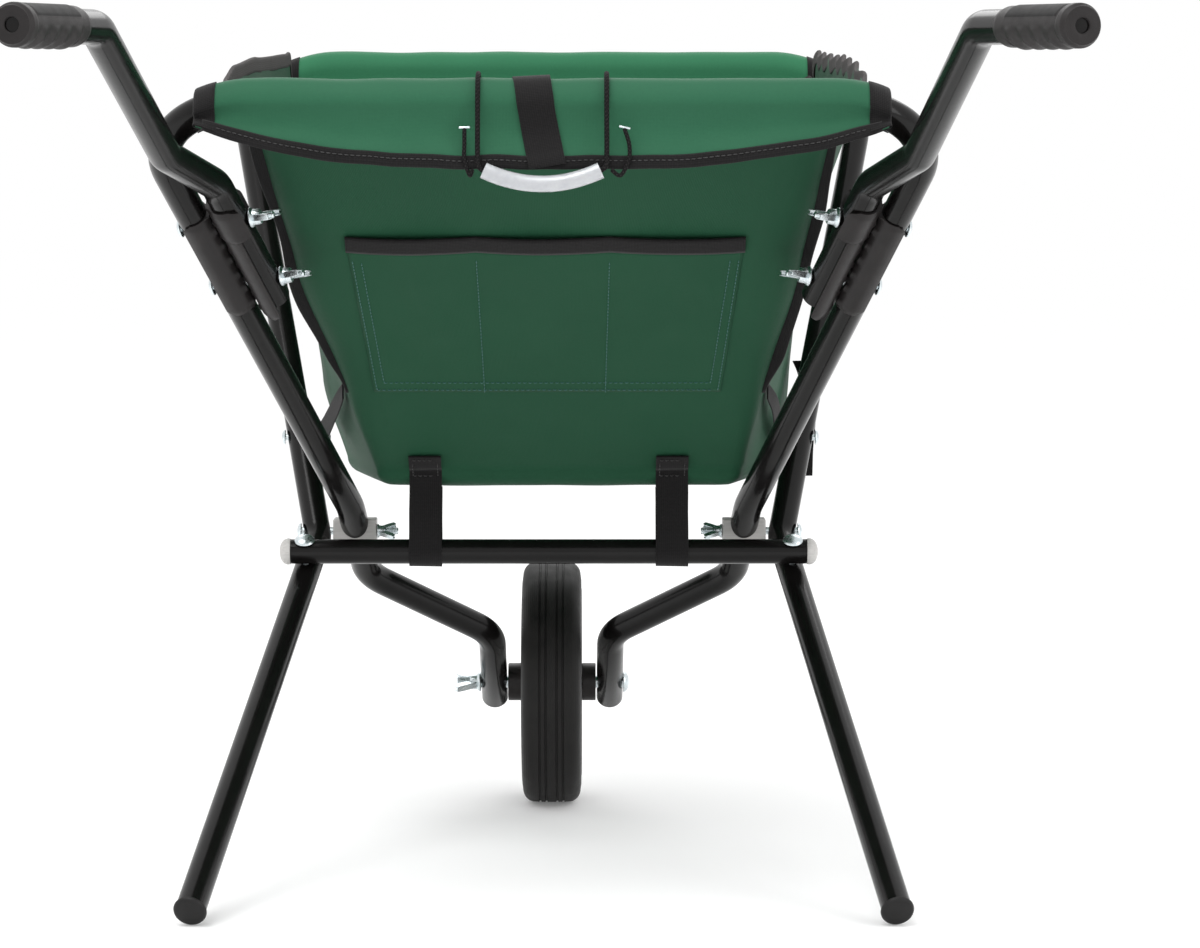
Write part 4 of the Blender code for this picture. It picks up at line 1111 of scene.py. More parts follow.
def build_pivot(word, side):
    """The grey nylon block between the frames, its bolt and wing nut, and the crossbar's bolts."""
    front_x = front_side_point(1, PIVOT.z).x
    outer = front_x - FRONT_R - 0.0026
    inner = outer - 0.0335
    corners = ((-0.0120, -0.0095), (0.0120, -0.0095), (0.0120, 0.0100), (-0.0120, 0.0100))
    bm = bmesh.new()
    sections = []
    for x in (inner, outer):
        sections.append([PIVOT + Vector((x * side, y, z)) for y, z in corners])
    add_loft(bm, sections)
    block = finish(
        "pivot_spacer_" + word, bm, GREY, "rear_frame", ["pivot_block_" + word],
        30.0,
    )
    bevel = block.modifiers.new("edges", "BEVEL")
    bevel.width = 0.0011
    bevel.segments = 3
    seat = Vector(((front_x + FRONT_R + LEAN_GAP) * side, PIVOT.y, PIVOT.z))
    length = outer - inner + 2 * FRONT_R + LEAN_GAP + 0.0101 + 0.0095
    inward = Vector((-side, 0, 0))
    bolt(
        "pivot_screw_" + word, seat, inward, SHANK_R, length, 0.0062, 0.0034, "rear_frame",
        ["pivot_bolt_" + word],
    )
    stand = Vector(((inner - 0.0003) * side, PIVOT.y, PIVOT.z))
    wing_nut(
        "pivot_wing_" + word, stand, inward, facing(inward, (0, 0.92, 0.39)), SHANK_R,
        "rear_frame", ["pivot_wing_nut_" + word], PIVOT_WING,
    )
    centre, at_tube, rearward = crossbar_frame()
    at_side = Vector((at_tube.x * side, centre.y, centre.z))
    head = at_side + rearward * (CROSSBAR_R + 0.0004)
    length = 2 * CROSSBAR_R + 2 * FRONT_R + 0.0085
    bolt(
        "crossbar_screw_" + word, head, -rearward, SHANK_R, length, 0.0078, 0.0038, "front_frame",
        ["crossbar_bolt_" + word],
    )
    nut_seat = at_side - rearward * (CROSSBAR_R + 2 * FRONT_R + 0.0012)
    hex_nut(
        "crossbar_hexnut_" + word, nut_seat, -rearward, 0.0058, 0.0050, 0.0030, "front_frame",
        ["crossbar_nut_" + word],
    )
    outboard = Vector((side, 0, 0))
    anchor = front_side_point(side, ANCHOR_Z)
    start = anchor - outboard * (FRONT_R + LEAN_GAP)
    spacer = [(0.0, 0.0069), (0.0005, 0.0075), (0.0035, 0.0075), (0.0040, 0.0069)]
    spacer += [(0.0040, 0.0031), (0.0, 0.0031)]
    turned(
        "anchor_washer_" + word, spacer, start, -outboard, PLASTIC, "front_frame", "black_plastic",
        ["anchor_spacer_" + word], closed=True,
    )
    head = anchor + outboard * (FRONT_R + LEAN_GAP)
    bolt(
        "anchor_screw_" + word, head, -outboard, 0.0026, 2 * FRONT_R + 0.0150, 0.0060, 0.0030,
        "front_frame", ["anchor_bolt_" + word],
    )
    nut_seat = start - outboard * (0.0040 + 0.0016 + 0.0009)
    hex_nut(
        "anchor_hexnut_" + word, nut_seat, -outboard, 0.0053, 0.0042, 0.0026, "front_frame",
        ["anchor_nut_" + word],
    )


# ---------------------------------------------------------------- wheel


def build_wheel():
    axle = rear_plane(0, 0)
    half = TYRE_HALF
    tread = [(-half + 0.0030, RIM_R + 0.0006), (-half + 0.0006, RIM_R + 0.0030)]
    tread += [(-half, RIM_R + 0.0060), (-half - 0.0003, RIM_R + 0.0072), (-half, RIM_R + 0.0084)]
    tread += [(-half, WHEEL_R - 0.0150), (-half + 0.0006, WHEEL_R - 0.0110)]
    for k in range(1, 8):
        angle = math.radians(90 * k / 8)
        tread.append(
            (
                -half + 0.0106 - 0.0100 * math.cos(angle),
                WHEEL_R - 0.0110 + 0.0108 * math.sin(angle),
            )
        )
    for x in (-0.0095, -0.0045):
        tread += [(x - 0.0010, WHEEL_R), (x - 0.0006, WHEEL_R - 0.0011)]
        tread += [(x + 0.0006, WHEEL_R - 0.0011), (x + 0.0010, WHEEL_R)]
    profile = tread + [(-x, r) for x, r in reversed(tread)]
    turned(
        "wheel_tyre", profile, axle, (1, 0, 0), TYRE, "wheel", "tyre_rubber", ["tyre"], 128, True,
    )
    rim_half = TYRE_HALF - 0.0035
    rim = [
        (rim_half, RIM_R), (rim_half + 0.0003, RIM_R - 0.0010), (rim_half, RIM_R - 0.0035),
        (0.0060, RIM_R - 0.0060), (0.0046, RIM_R - 0.0080), (0.0038, RIM_R - 0.0170),
        (0.0038, HUB_R + 0.0110), (0.0052, HUB_R + 0.0050), (0.0090, HUB_R + 0.0012),
        (TYRE_HALF - 0.0008, HUB_R), (TYRE_HALF, HUB_R - 0.0008), (TYRE_HALF, 0.0078),
    ]
    profile = rim + [(-x, r) for x, r in reversed(rim)]
    turned(
        "wheel_centre", profile, axle, (1, 0, 0), PALE, "wheel", "pale_plastic", ["wheel_rim"], 96,
        True,
    )
    add_spokes(axle)
    bush = [(-half, 0.0076), (half, 0.0076), (half, 0.0052), (-half, 0.0052)]
    turned(
        "wheel_sleeve", bush, axle, (1, 0, 0), GREY, "wheel", "grey_plastic", ["wheel_bush"], 40,
        True,
    )
    gap = FORK_X - TUBE_R - 0.0006
    for word, side in SIDES:
        ring = [(half + 0.0004, 0.0150), (half + 0.0010, 0.0156), (gap - 0.0006, 0.0156)]
        ring += [(gap, 0.0150), (gap, 0.0052), (half + 0.0004, 0.0052)]
        turned(
            "axle_collar_" + word, ring, axle, (side, 0, 0), PLASTIC, "rear_frame",
            "black_plastic", ["axle_spacer_" + word], 56, True,
        )
    head = axle + Vector((FORK_X + TUBE_R + 0.0003, 0, 0))
    length = 2 * (FORK_X + TUBE_R) + 0.0205
    bolt(
        "axle_screw", head, (-1, 0, 0), AXLE_SHANK_R, length, 0.0088, 0.0050, "rear_frame",
        ["axle_bolt"],
    )
    stand = axle - Vector((FORK_X + TUBE_R + 0.0003, 0, 0))
    turn = facing((-1, 0, 0), (0, 0.96, 0.26))
    wing_nut(
        "axle_wing", stand, (-1, 0, 0), turn, AXLE_SHANK_R, "rear_frame", ["axle_wing_nut"],
        AXLE_WING,
    )


def add_spokes(axle):
    """Six moulded ribs across the wheel's web, one object on each face."""
    for word, side in SIDES:
        bm = bmesh.new()
        for k in range(6):
            angle = math.pi / 3 * k + 0.3
            out = Vector((0, math.cos(angle), math.sin(angle)))
            across = Vector((0, -math.sin(angle), math.cos(angle)))
            sections = []
            for reach, height, width in (
                (HUB_R - 0.0010, 0.0120, 0.0030), (HUB_R + 0.0080, 0.0105, 0.0024),
                (RIM_R - 0.0180, 0.0105, 0.0024), (RIM_R - 0.0045, 0.0150, 0.0032),
            ):
                base = axle + out * reach
                low = Vector((0.0030 * side, 0, 0))
                high = Vector((height * side, 0, 0))
                sections.append(
                    [
                        base + low - across * width * 0.7, base + high - across * width * 0.35,
                        base + high + across * width * 0.35, base + low + across * width * 0.7,
                    ]
                )
            add_loft(bm, sections)
        finish("wheel_ribs_" + word, bm, PALE, "wheel", smooth=25.0)


# ---------------------------------------------------------------- cloth shapes


def tub_half_rear(u, side):
    """How far the rear face reaches to the left (side -1) or the right at a share of its height."""
    if side < 0:
        marks = ((0.0, 0.129), (0.25, 0.149), (0.55, 0.180), (0.97, 0.199), (1.0, 0.200))
    else:
        marks = (
            (0.0, 0.142), (0.06, 0.149), (0.25, 0.160), (0.55, 0.183), (0.97, 0.199), (1.0, 0.200),
        )
    return through(marks, u)


def tub_half_front(u, side):
    if side < 0:
        marks = ((0.0, 0.166), (0.22, 0.190), (0.5, 0.203), (1.0, 0.2246))
    else:
        marks = ((0.0, 0.188), (0.22, 0.197), (0.5, 0.206), (1.0, 0.2246))
    return through(marks, u)


def tub_corner(u):
    """How far the cloth starts to turn before each rear corner of the tub."""
    marks = (
        (0.0, 0.007), (0.14, 0.009), (0.26, 0.018), (0.38, 0.030), (0.60, 0.030), (0.82, 0.014),
        (1.0, 0.009),
    )
    return through(marks, u)


def tub_rear(u):
    """(y, z) of the tub's rear face at a share of its height."""
    if u < 0.93:
        return lerp(TUB_LOW_REAR[0], -0.1795, u / 0.93), lerp(TUB_LOW_REAR[1], 0.5600, u / 0.93)
    share = (u - 0.93) / 0.07
    return lerp(-0.1795, TUB_HIGH_REAR[0], share), lerp(0.5600, 0.5740, share)


def tub_front(u):
    low, high = TUB_LOW_FRONT, TUB_HIGH_FRONT
    return lerp(low[0], high[0], u), lerp(low[1], high[1] - 0.004, u)


def cloud(x, y, z, scale, seed=0.0):
    return noise.noise(Vector((x * scale + seed, y * scale, z * scale)))


def rear_swell(x, u):
    """How far the rear face stands out from its plane: soft clouding, folds beside the corners."""
    half = tub_half_rear(u, x) - tub_corner(u)
    edge = abs(x) / half
    swell = 0.0030 * cloud(x, u * 0.5, 0.0, 8.0, 3.1) + 0.0009 * cloud(x, u * 0.5, 0.0, 30.0, 8.0)
    slant = x * 1.6 + u * 0.16
    swell += 0.0013 * cloud(slant, u * 0.12, 0.0, 19.0, 5.2) * smoothstep(0.05, 0.3, u)
    across = (half - abs(x)) / 0.050
    tone = cloud(x * 2.0, u * 0.3, 0.0, 5.0, 1.7)
    fold = math.exp(-((across - 0.12 - 0.25 * tone) ** 2) / 0.02)
    trough = math.exp(-((across - 0.75 - 0.3 * tone) ** 2) / 0.10)
    reach = smoothstep(0.08, 0.30, u) * (1 - smoothstep(0.85, 0.99, u))
    swell += (0.0022 * fold - 0.0018 * trough) * reach
    second = math.exp(-((across - 1.5 + 1.6 * (u - 0.3)) ** 2) / 0.05)
    swell += 0.0011 * second * reach * (1 if x < 0 else 0.6)
    pull = math.exp(-((abs(x) - 0.095) ** 2) / 0.0006) * math.exp(-u * 16)
    swell += -0.0015 * pull
    return swell * (1 - smoothstep(0.93, 1.0, u)) * (1 - smoothstep(0.9, 1.05, edge) * 0.3)


def rear_face(x, u, out=0.0):
    """A point on the tub's rear face, lifted off it by a distance."""
    y, z = tub_rear(u)
    normal = Vector((0, -0.6357, -0.7719))
    return Vector((x, y - rear_swell(x, u), z)) + normal * out


def side_top(y):
    """The height of the tub's side edges between the two hems."""
    marks = ((-0.2128, 0.574), (-0.12, 0.580), (-0.03, 0.594), (0.134, 0.606), (0.53, 0.6246))
    return through(marks, y)


def side_bulge(share, u):
    """How far the top of a side stands out from the straight line between its corners."""
    marks = ((0.0, 0.0), (0.058, 0.0146), (0.125, 0.0205), (0.5, 0.0120), (1.0, 0.0))
    return through(marks, min(1.0, max(0.0, share))) * smoothstep(0.55, 1.0, u)


def tub_ring(u, inset=0.0):
    """One level of the tub, walked from the middle of its rear face round to the right."""
    rear_y, rear_z = tub_rear(u)
    front_y, front_z = tub_front(u)
    ry, fy = rear_y + inset * 1.3, front_y - inset * 1.1
    corners = [
        Vector((tub_half_rear(u, 1) - inset, ry)), Vector((tub_half_front(u, 1) - inset, fy)),
        Vector((inset - tub_half_front(u, -1), fy)), Vector((inset - tub_half_rear(u, -1), ry)),
    ]
    turns = [tub_corner(u), 0.026, 0.026, tub_corner(u)]
    plan = []
    steps_between = (40, 46, 40, 46)
    arcs = []
    for i, corner in enumerate(corners):
        before = (corner - corners[i - 1]).normalized()
        after = (corners[(i + 1) % 4] - corner).normalized()
        start = corner - before * turns[i]
        end = corner + after * turns[i]
        arc = []
        for k in range(15):
            t = k / 14
            arc.append(start * (1 - t) ** 2 + corner * 2 * t * (1 - t) + end * t * t)
        arcs.append(arc)
    for i in range(4):
        plan += [(p, 0) for p in arcs[i]]
        a, b = arcs[i][-1], arcs[(i + 1) % 4][0]
        count = steps_between[i]
        for k in range(1, count):
            plan.append((a.lerp(b, k / count), i + 1))
    points = []
    for p, kind in plan:
        share = (p.y - rear_y) / (front_y - rear_y)
        z = lerp(rear_z, front_z, share)
        x, y = p.x, p.y
        x += math.copysign(side_bulge(share, u), x)
        if kind in (1, 3):
            along = min(1.0, max(0.0, share))
            slack = math.sin(math.pi * along) * math.sin(math.pi * min(1.0, u * 1.02))
            wave = 0.0050 * cloud(
                0.0, y, z, 8.0, 5.0 + kind,
            ) + 0.0014 * cloud(0.0, y, z, 30.0, kind)
            folds = 0.0018 * math.sin(46 * y + 9 * z + kind) * smoothstep(0.4, 1.0, u)
            x += math.copysign(-0.0030 * slack + wave * slack + folds * slack, x)
        if kind == 2:
            y += 0.0030 * math.sin(math.pi * u) * cloud(x, 0.0, z, 8.0, 11.0)
        if kind == 4:
            y -= rear_swell(x, u)
        side_share = smoothstep(0.0, 0.05, share) * (1 - smoothstep(0.975, 1.0, share))
        if kind in (1, 3):
            z += (side_top(y) - lerp(0.574, 0.604, share)) * u**5 * side_share
        points.append(Vector((x, y, z)))
    return points


def build_tub():
    rows = []
    levels = 52
    for i in range(levels + 1):
        rows.append(tub_ring(1 - 0.96 * i / levels))
    bend = 0.012
    for k in range(1, 7):
        angle = math.radians(15 * k)
        inset = bend * (1 - math.cos(angle))
        ring = tub_ring(0.04, inset)
        rows.append([p + Vector((0, 0, bend * (1 - math.sin(angle)) - bend)) for p in ring])
    base = rows[-1]
    centre = Vector((0, 0.248, 0))
    for k in range(1, 9):
        share = 1 - k / 8.3
        ring = []
        for p in base:
            x, y = p.x * share, lerp(centre.y, p.y, share)
            dip = 0.0035 * (1 - share * share) + 0.0012 * cloud(x, y, 0, 20.0)
            ring.append(Vector((x, y, p.z - dip)))
        rows.append(ring)
    # The tub takes the darker copy of the green cloth: painted shade.
    tub = grid_cloth(
        "tub_cloth", rows, TUB_GREEN_PAINTED_SHADE, None, ["tub"], wrap=True, turn=True,
    )
    close_last_row(tub, len(rows[0]))
    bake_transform(tub)
    return tub


def close_last_row(obj, count):
    """Closes the small opening that a wrapped grid leaves in the middle of its last row."""
    bm = bmesh.new()
    bm.from_mesh(obj.data)
    bm.verts.ensure_lookup_table()
    ring = [bm.verts[len(bm.verts) - count + k] for k in range(count)]
    middle = bm.verts.new(sum((v.co for v in ring), Vector()) / count)
    for k in range(count):
        face = bm.faces.new((ring[k], ring[(k + 1) % count], middle))
        face.smooth = True
    bmesh.ops.recalc_face_normals(bm, faces=bm.faces)
    bm.to_mesh(obj.data)
    bm.free()


def folded_tape(name, edge, edge_dirs, side_dirs, width, gap, body, wobble=0.0, material=None):
    """Binding tape folded over a cloth's edge: edge is the fold, edge_dirs point out of the cloth."""
    rows = []
    for point, out, side in zip(edge, edge_dirs, side_dirs):
        out = Vector(out).normalized()
        side = Vector(side).normalized()
        shift = side * wobble * cloud(point.x, point.y, point.z, 20.0, 2.0)
        wide = width * (1 + 0.05 * cloud(point.x, point.y, point.z, 14.0, 4.0))
        centre = point - out * gap + shift
        row = []
        for share in (1.0, 0.8, 0.55, 0.3, 0.1):
            row.append(centre + side * gap * (1 - 0.25 * (share > 0.9)) - out * wide * share)
        for angle in (25, 60, 90, 120, 155):
            a = math.radians(angle)
            row.append(centre + side * gap * math.cos(a) + out * gap * math.sin(a))
        for share in (0.1, 0.3, 0.55, 0.8, 1.0):
            row.append(centre - side * gap * (1 - 0.25 * (share > 0.9)) - out * wide * share)
        rows.append(row)
    return grid_cloth(name, rows, material or WEBBING, body, thick=0.0007)


def ribbon(name, path, across, width, material, body, replaced=(), thick=WEB_THICK, taper=None):
    """A flat woven band along a path; across is its width direction at each point."""
    rows = []
    for i, (point, sideways) in enumerate(zip(path, across)):
        sideways = Vector(sideways).normalized()
        wide = width * (taper[i] if taper else 1.0)
        wide *= 1 + 0.02 * cloud(point.x, point.y, point.z, 80.0, 6.0)
        rows.append([point + sideways * wide * (k / 8 - 0.5) for k in range(9)])
    obj = grid_cloth(name, rows, material, body, replaced, thick=thick)
    bevel = obj.modifiers.new("edges", "BEVEL")
    bevel.width = thick * 0.3
    bevel.segments = 2
    bevel.limit_method = "ANGLE"
    bevel.angle_limit = math.radians(50)
    return obj


# ---------------------------------------------------------------- hems and bindings


def hem_profile(sense, height, legs, x):
    """The hem's section at x as (y, z) from the bar's centre: leg, round the bar, and flap."""
    points = []
    for k in range(4):
        points.append((-sense * (HEM_R - 0.0002), -legs + legs * k / 4))
    for k in range(19):
        angle = math.pi * k / 18
        points.append((-sense * HEM_R * math.cos(angle), HEM_R * math.sin(angle)))
    steps = 16
    for k in range(1, steps + 1):
        t = k / steps
        tuck = 0.0042 * math.sin(math.pi * min(1.0, t * 1.15)) if t < 0.87 else 0.0
        flare = 0.0030 * t * t
        ripple = 0.0024 * t * cloud(
            x, 0.0, 0.0, 13.0, 2.2 + sense,
        ) + 0.0013 * t * cloud(x, t * 0.1, 0, 34.0, 7)
        points.append((sense * (HEM_R - tuck + flare + ripple), -height * t))
    return points


def flap_low(base, x):
    """The flap's lower edge: deep in the middle, rising to the ends, with a slight wave."""
    wave = 0.0018 * cloud(x, 0.0, 0.0, 17.0, 9.0) + 0.0008 * cloud(x, 0.0, 0.0, 46.0, 2.0)
    return base + 0.0270 * abs(x / HEM_HALF) ** 3.2 + wave


def hem_row(bar_at, base, sense, x):
    centre = bar_at(x)
    height = centre.z - flap_low(base, x)
    pinch = 0.0011 * cloud(x, 0, 0, 22.0, 4.4)
    row = []
    for a, b in hem_profile(sense, height, 0.012, x):
        row.append(centre + Vector((0, a, b + (pinch if b > 0.008 else 0.0))))
    return row


def hem_rows(bar_at, base, sense, steps=96):
    return [hem_row(bar_at, base, sense, HEM_HALF * (2 * i / steps - 1)) for i in range(steps + 1)]


def hem_end_tape(name, body, bar_at, base, sense, side):
    """Tape folded over a hem's end; it follows the cloth on both of its faces."""
    stations = [(0.2190, 0.0011), (0.2222, 0.0012), (0.2255, 0.0012), (0.2290, 0.0012)]
    stations += [(0.2322, 0.0012), (0.2332, 0.0009), (0.2337, 0.0)]
    stations += [(x, -lift) for x, lift in reversed(stations[:-1])]
    columns = []
    for x, lift in stations:
        row = hem_row(bar_at, base, sense, x * side)
        column = []
        for k, point in enumerate(row):
            along = (row[min(k + 1, len(row) - 1)] - row[max(k - 1, 0)]).normalized()
            column.append(point + Vector((0, -along.z, along.y)) * (sense * lift))
        columns.append(column)
    rows = [list(row) for row in zip(*columns)]
    return grid_cloth(name, rows, WEBBING, body, thick=0.0007)


def build_hem(name, node, body, bar_at, base, sense):
    rows = hem_rows(bar_at, base, sense)
    # The front hem takes a lighter copy of the green than the rear hem: painted light.
    cloth = REAR_GREEN if sense < 0 else FRONT_HEM_GREEN_PAINTED_LIGHT
    hem = grid_cloth(name + "_cloth", rows, cloth, body, [node], turn=sense > 0)
    edge = []
    outs = []
    sides = []
    for row in rows[1:-1]:
        down = (row[-1] - row[-2]).normalized()
        edge.append(row[-1] + down * 0.0010)
        outs.append(down)
        sides.append(Vector((0, sense, 0)))
    low = folded_tape(name + "_lower_tape", edge, outs, sides, 0.0078, 0.0012, body, wobble=0.0004)
    for word, side in SIDES:
        hem_end_tape(name + "_end_" + word, body, bar_at, base, sense, side)
    path = []
    normals = []
    for row in rows[3:-3]:
        down = (row[-1] - row[-2]).normalized()
        path.append(row[-1] - down * 0.0044 + Vector((0, sense * 0.0018, 0)))
        normals.append(Vector((0, sense, 0)))
    stitches(name + "_stitching", [(path, normals)], BLACK_THREAD, body, "black_webbing")
    return rows


def tub_side_edge(side):
    """The top edge of one side of the tub, from the rear hem to the front one."""
    ring = tub_ring(1.0)
    picked = [p for p in ring if p.x * side > 0.17 and -0.212 < p.y < 0.5295]
    picked.sort(key=lambda p: p.y)
    return picked


def build_edge_tapes():
    """Tape over the tub's side edges, and the taped seams down its rear corners."""
    for word, side in SIDES:
        edge = tub_side_edge(side)
        fine = curve_through(edge[::2] + ([edge[-1]] if len(edge) % 2 == 0 else []), 5)
        ruffle = 0.0030 if side > 0 else 0.0
        path = []
        outs = []
        sides = []
        for i, point in enumerate(fine):
            wave = math.sin(i * 0.55 + 0.8 * math.sin(i * 0.11))
            lift = 0.0020 + (0.0022 if side > 0 else 0.0) * wave
            path.append(point + Vector((ruffle * wave * 0.5, 0, lift)))
            outs.append(Vector((0.10 * wave * (side > 0), 0, 1)))
            sides.append(Vector((1, 0, 0)))
        tape = folded_tape(
            "tub_edge_tape_" + word, path, outs, sides, 0.0100, 0.0013, None, 0.0006, BINDING,
        )
        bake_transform(tape)
        edge = []
        outs = []
        sides = []
        steps = 90
        for i in range(steps + 1):
            u = lerp(0.245, 0.985, i / steps)
            rear_y, rear_z = tub_rear(u)
            turn = tub_corner(u)
            half = tub_half_rear(u, side) - 0.005 * (1 - smoothstep(0.24, 0.34, u))
            seam = Vector((half * side, rear_y + turn * 0.75, rear_z + turn * 0.05))
            out = Vector((0.94 * side, -0.34, 0.0)).normalized()
            sway = 0.0016 * math.sin(u * 19 + side) + 0.0012 * cloud(0, u, side, 9.0)
            sides.append(Vector((0.34 * side, 0.94, 0)) + Vector((0, 0, 0.15 * math.sin(14 * u))))
            edge.append(seam + out * (0.0098 + sway))
            outs.append(out)
        folded_tape(
            "tub_seam_tape_" + word, edge, outs, sides, 0.0120, 0.0011, "rear_frame",
            wobble=0.0020,
        )


# ---------------------------------------------------------------- pocket and straps


def build_pocket():
    rows = []
    dividers = (-0.050, 0.046)
    levels = 44
    columns = 84

    def half_at(t):
        return lerp(0.1295, 0.1415, t)

    def puff(x, t):
        edges = (-half_at(t), *dividers, half_at(t))
        for a, b in zip(edges, edges[1:]):
            if a <= x <= b:
                share = (x - a) / (b - a)
                return 0.0026 * math.sin(math.pi * share) ** 0.8 * smoothstep(0.0, 0.9, t)
        return 0.0

    def place(x, t, lift):
        u = lerp(POCKET_LOW, POCKET_HIGH, t) * 0.93
        return rear_face(x, u, 0.0013 + puff(x, t) + lift)

    for i in range(levels + 1):
        t = 1 - i / levels
        half = half_at(t)
        rows.append([place(half * (2 * k / columns - 1), t, 0.0) for k in range(columns + 1)])
    # The pocket takes the tub's darker copy of the green cloth: painted shade.
    panel = grid_cloth(
        "pocket_cloth", rows, TUB_GREEN_PAINTED_SHADE, "rear_frame", ["pocket_panel"],
        turn=True,
    )
    normal = Vector((0, -0.6357, -0.7719))
    lines = []

    def line(points):
        lines.append(([place(x, t, 0.0006) for x, t in points], [normal] * len(points)))

    for inset in (0.0022, 0.0085):
        for sign in (-1, 1):
            line(
                [((half_at(t / 20) - inset) * sign, max(inset / 0.12, t / 20)) for t in range(20)]
            )
        low = inset / 0.12
        span = half_at(low) - inset
        line([(span * (2 * k / 40 - 1), low) for k in range(41)])
    for x in dividers:
        line([(x * lerp(0.94, 1.0, t / 20), t / 20) for t in range(20)])
    seams = stitches("pocket_stitching", lines, TEAL_THREAD, "rear_frame", "green_fabric")
    edge = []
    outs = []
    sides = []
    for k in range(121):
        x = 0.1428 * (2 * k / 120 - 1)
        u = POCKET_HIGH * 0.93 + 0.0150 / 0.4405
        dip = 0.0014 * cloud(x, 0, 0, 14.0, 3.0)
        inside = max(-0.1414, min(0.1414, x))
        edge.append(rear_face(x, u + dip, 0.0024 + puff(inside, 1.0) * 0.9))
        outs.append(Vector((0, -0.7719, 0.6357)))
        sides.append(normal)
    tape = folded_tape(
        "pocket_mouth_tape", edge, outs, sides, 0.0150, 0.0010, "rear_frame", wobble=0.0003,
    )
    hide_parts("pocket_binding")


def build_bottom_straps():
    """The two webbing loops that tie the tub's floor down round the crossbar."""
    centre, _, _ = crossbar_frame()
    radius = CROSSBAR_R + 0.0012
    for word, side in SIDES:
        x = 0.0948 * side
        top = rear_face(x, 0.086, 0.0030)
        low = rear_face(x, 0.032, 0.0036)
        points = [top, rear_face(x, 0.058, 0.0034), low]
        for k in range(13):
            angle = math.radians(154 + 201 * k / 12)
            points.append(centre + Vector((x, radius * math.cos(angle), radius * math.sin(angle))))
        points.append(Vector((x, centre.y + radius + 0.0030, 0.2600)))
        points.append(Vector((x, centre.y + radius + 0.0055, 0.2785)))
        path = curve_through(points, 4)
        across = [Vector((1, 0, 0.02 * math.sin(i * 0.3)))for i in range(len(path))]
        strap = ribbon(
            "tub_strap_" + word, path, across, WEB_WIDTH, WEBBING, None, ["strap_bottom_" + word],
        )
        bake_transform(strap)
        bm = bmesh.new()
        normal = Vector((0, -0.6357, -0.7719))
        for off in (-0.0095, 0.0095):
            line = [rear_face(x + off, lerp(0.038, 0.080, k / 6), 0.0045) for k in range(7)]
            add_stitches(bm, line, [normal] * len(line))
        for u in (0.038, 0.080):
            line = [rear_face(x + lerp(-0.0095, 0.0095, k / 6), u, 0.0045) for k in range(7)]
            add_stitches(bm, line, [normal] * len(line))
        finish(
            "tub_strap_stitching_" + word, bm, BLACK_THREAD, "rear_frame",
            smooth=80.0,
        )


def build_side_ties():
    """Webbing ties from the taped rear seams out to the anchor bolts on the front frame."""
    for word, side in SIDES:
        anchor = front_side_point(side, ANCHOR_Z)
        outer = Vector((anchor.x - side * (FRONT_R + LEAN_GAP + 0.0049), anchor.y, anchor.z))
        rear_y, rear_z = tub_rear(0.25)
        seam = Vector(((tub_half_rear(0.25, side) + 0.0060) * side, rear_y + 0.026, rear_z))
        points = [
            seam, seam + Vector((0.0070 * side, 0.030, -0.012)),
            seam.lerp(outer, 0.55) + Vector((0.0035 * side, 0, -0.006)),
            outer + Vector((0, -0.012, 0.003)), outer + Vector((0, 0.007, -0.001)),
        ]
        path = curve_through(points, 9)
        across = []
        taper = []
        for i in range(len(path)):
            t = i / (len(path) - 1)
            angle = 0.9 * math.sin(math.pi * t)
            across.append(Vector((0.55 * math.sin(angle) * side, 0.25, 1.0)))
            taper.append(lerp(0.75, 1.0, smoothstep(0.3, 0.9, t)))
        tie = ribbon(
            "side_tie_" + word, path, across, 0.0165, WEBBING, None, ["side_strap_" + word],
            0.0013, taper,
        )
        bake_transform(tie)
    points = [
        Vector((0.2040, 0.3330, 0.3700)), Vector((0.2088, 0.3320, 0.3560)),
        Vector((0.2094, 0.3300, 0.3300)), Vector((0.2066, 0.3255, 0.3000)),
        Vector((0.2055, 0.3220, 0.2765)),
    ]
    path = curve_through(points, 8)
    across = [Vector((1.0, 0.30 * math.sin(i * 0.11), 0.03)) for i in range(len(path))]
    ribbon("side_tie_tail", path, across, 0.0145, WEBBING, "front_frame", thick=0.0012)


def build_centre_strap(rows):
    """The short strap sewn over the rear hem; it follows the hem and slants a little."""
    path = []
    middle = len(rows) // 2
    profile = [rows[middle][k] for k in range(9, len(rows[middle]))]
    for i, point in enumerate(profile):
        t = i / (len(profile) - 1)
        a, b = profile[max(i - 1, 0)], profile[min(i + 1, len(profile) - 1)]
        along = (b - a).normalized()
        out = Vector((0, along.z, -along.y))
        lift = 0.0020 if t < 0.93 else 0.0034
        path.append(point + out * lift + Vector((lerp(-0.0085, 0.0035, t**1.4), 0, 0)))
    across = [Vector((1, 0, 0.05 + 0.12 * (i / len(path)) ** 2)) for i in range(len(path))]
    ribbon("hem_strap", path, across, WEB_WIDTH, WEBBING, "rear_frame", ["strap_centre"], 0.0013)


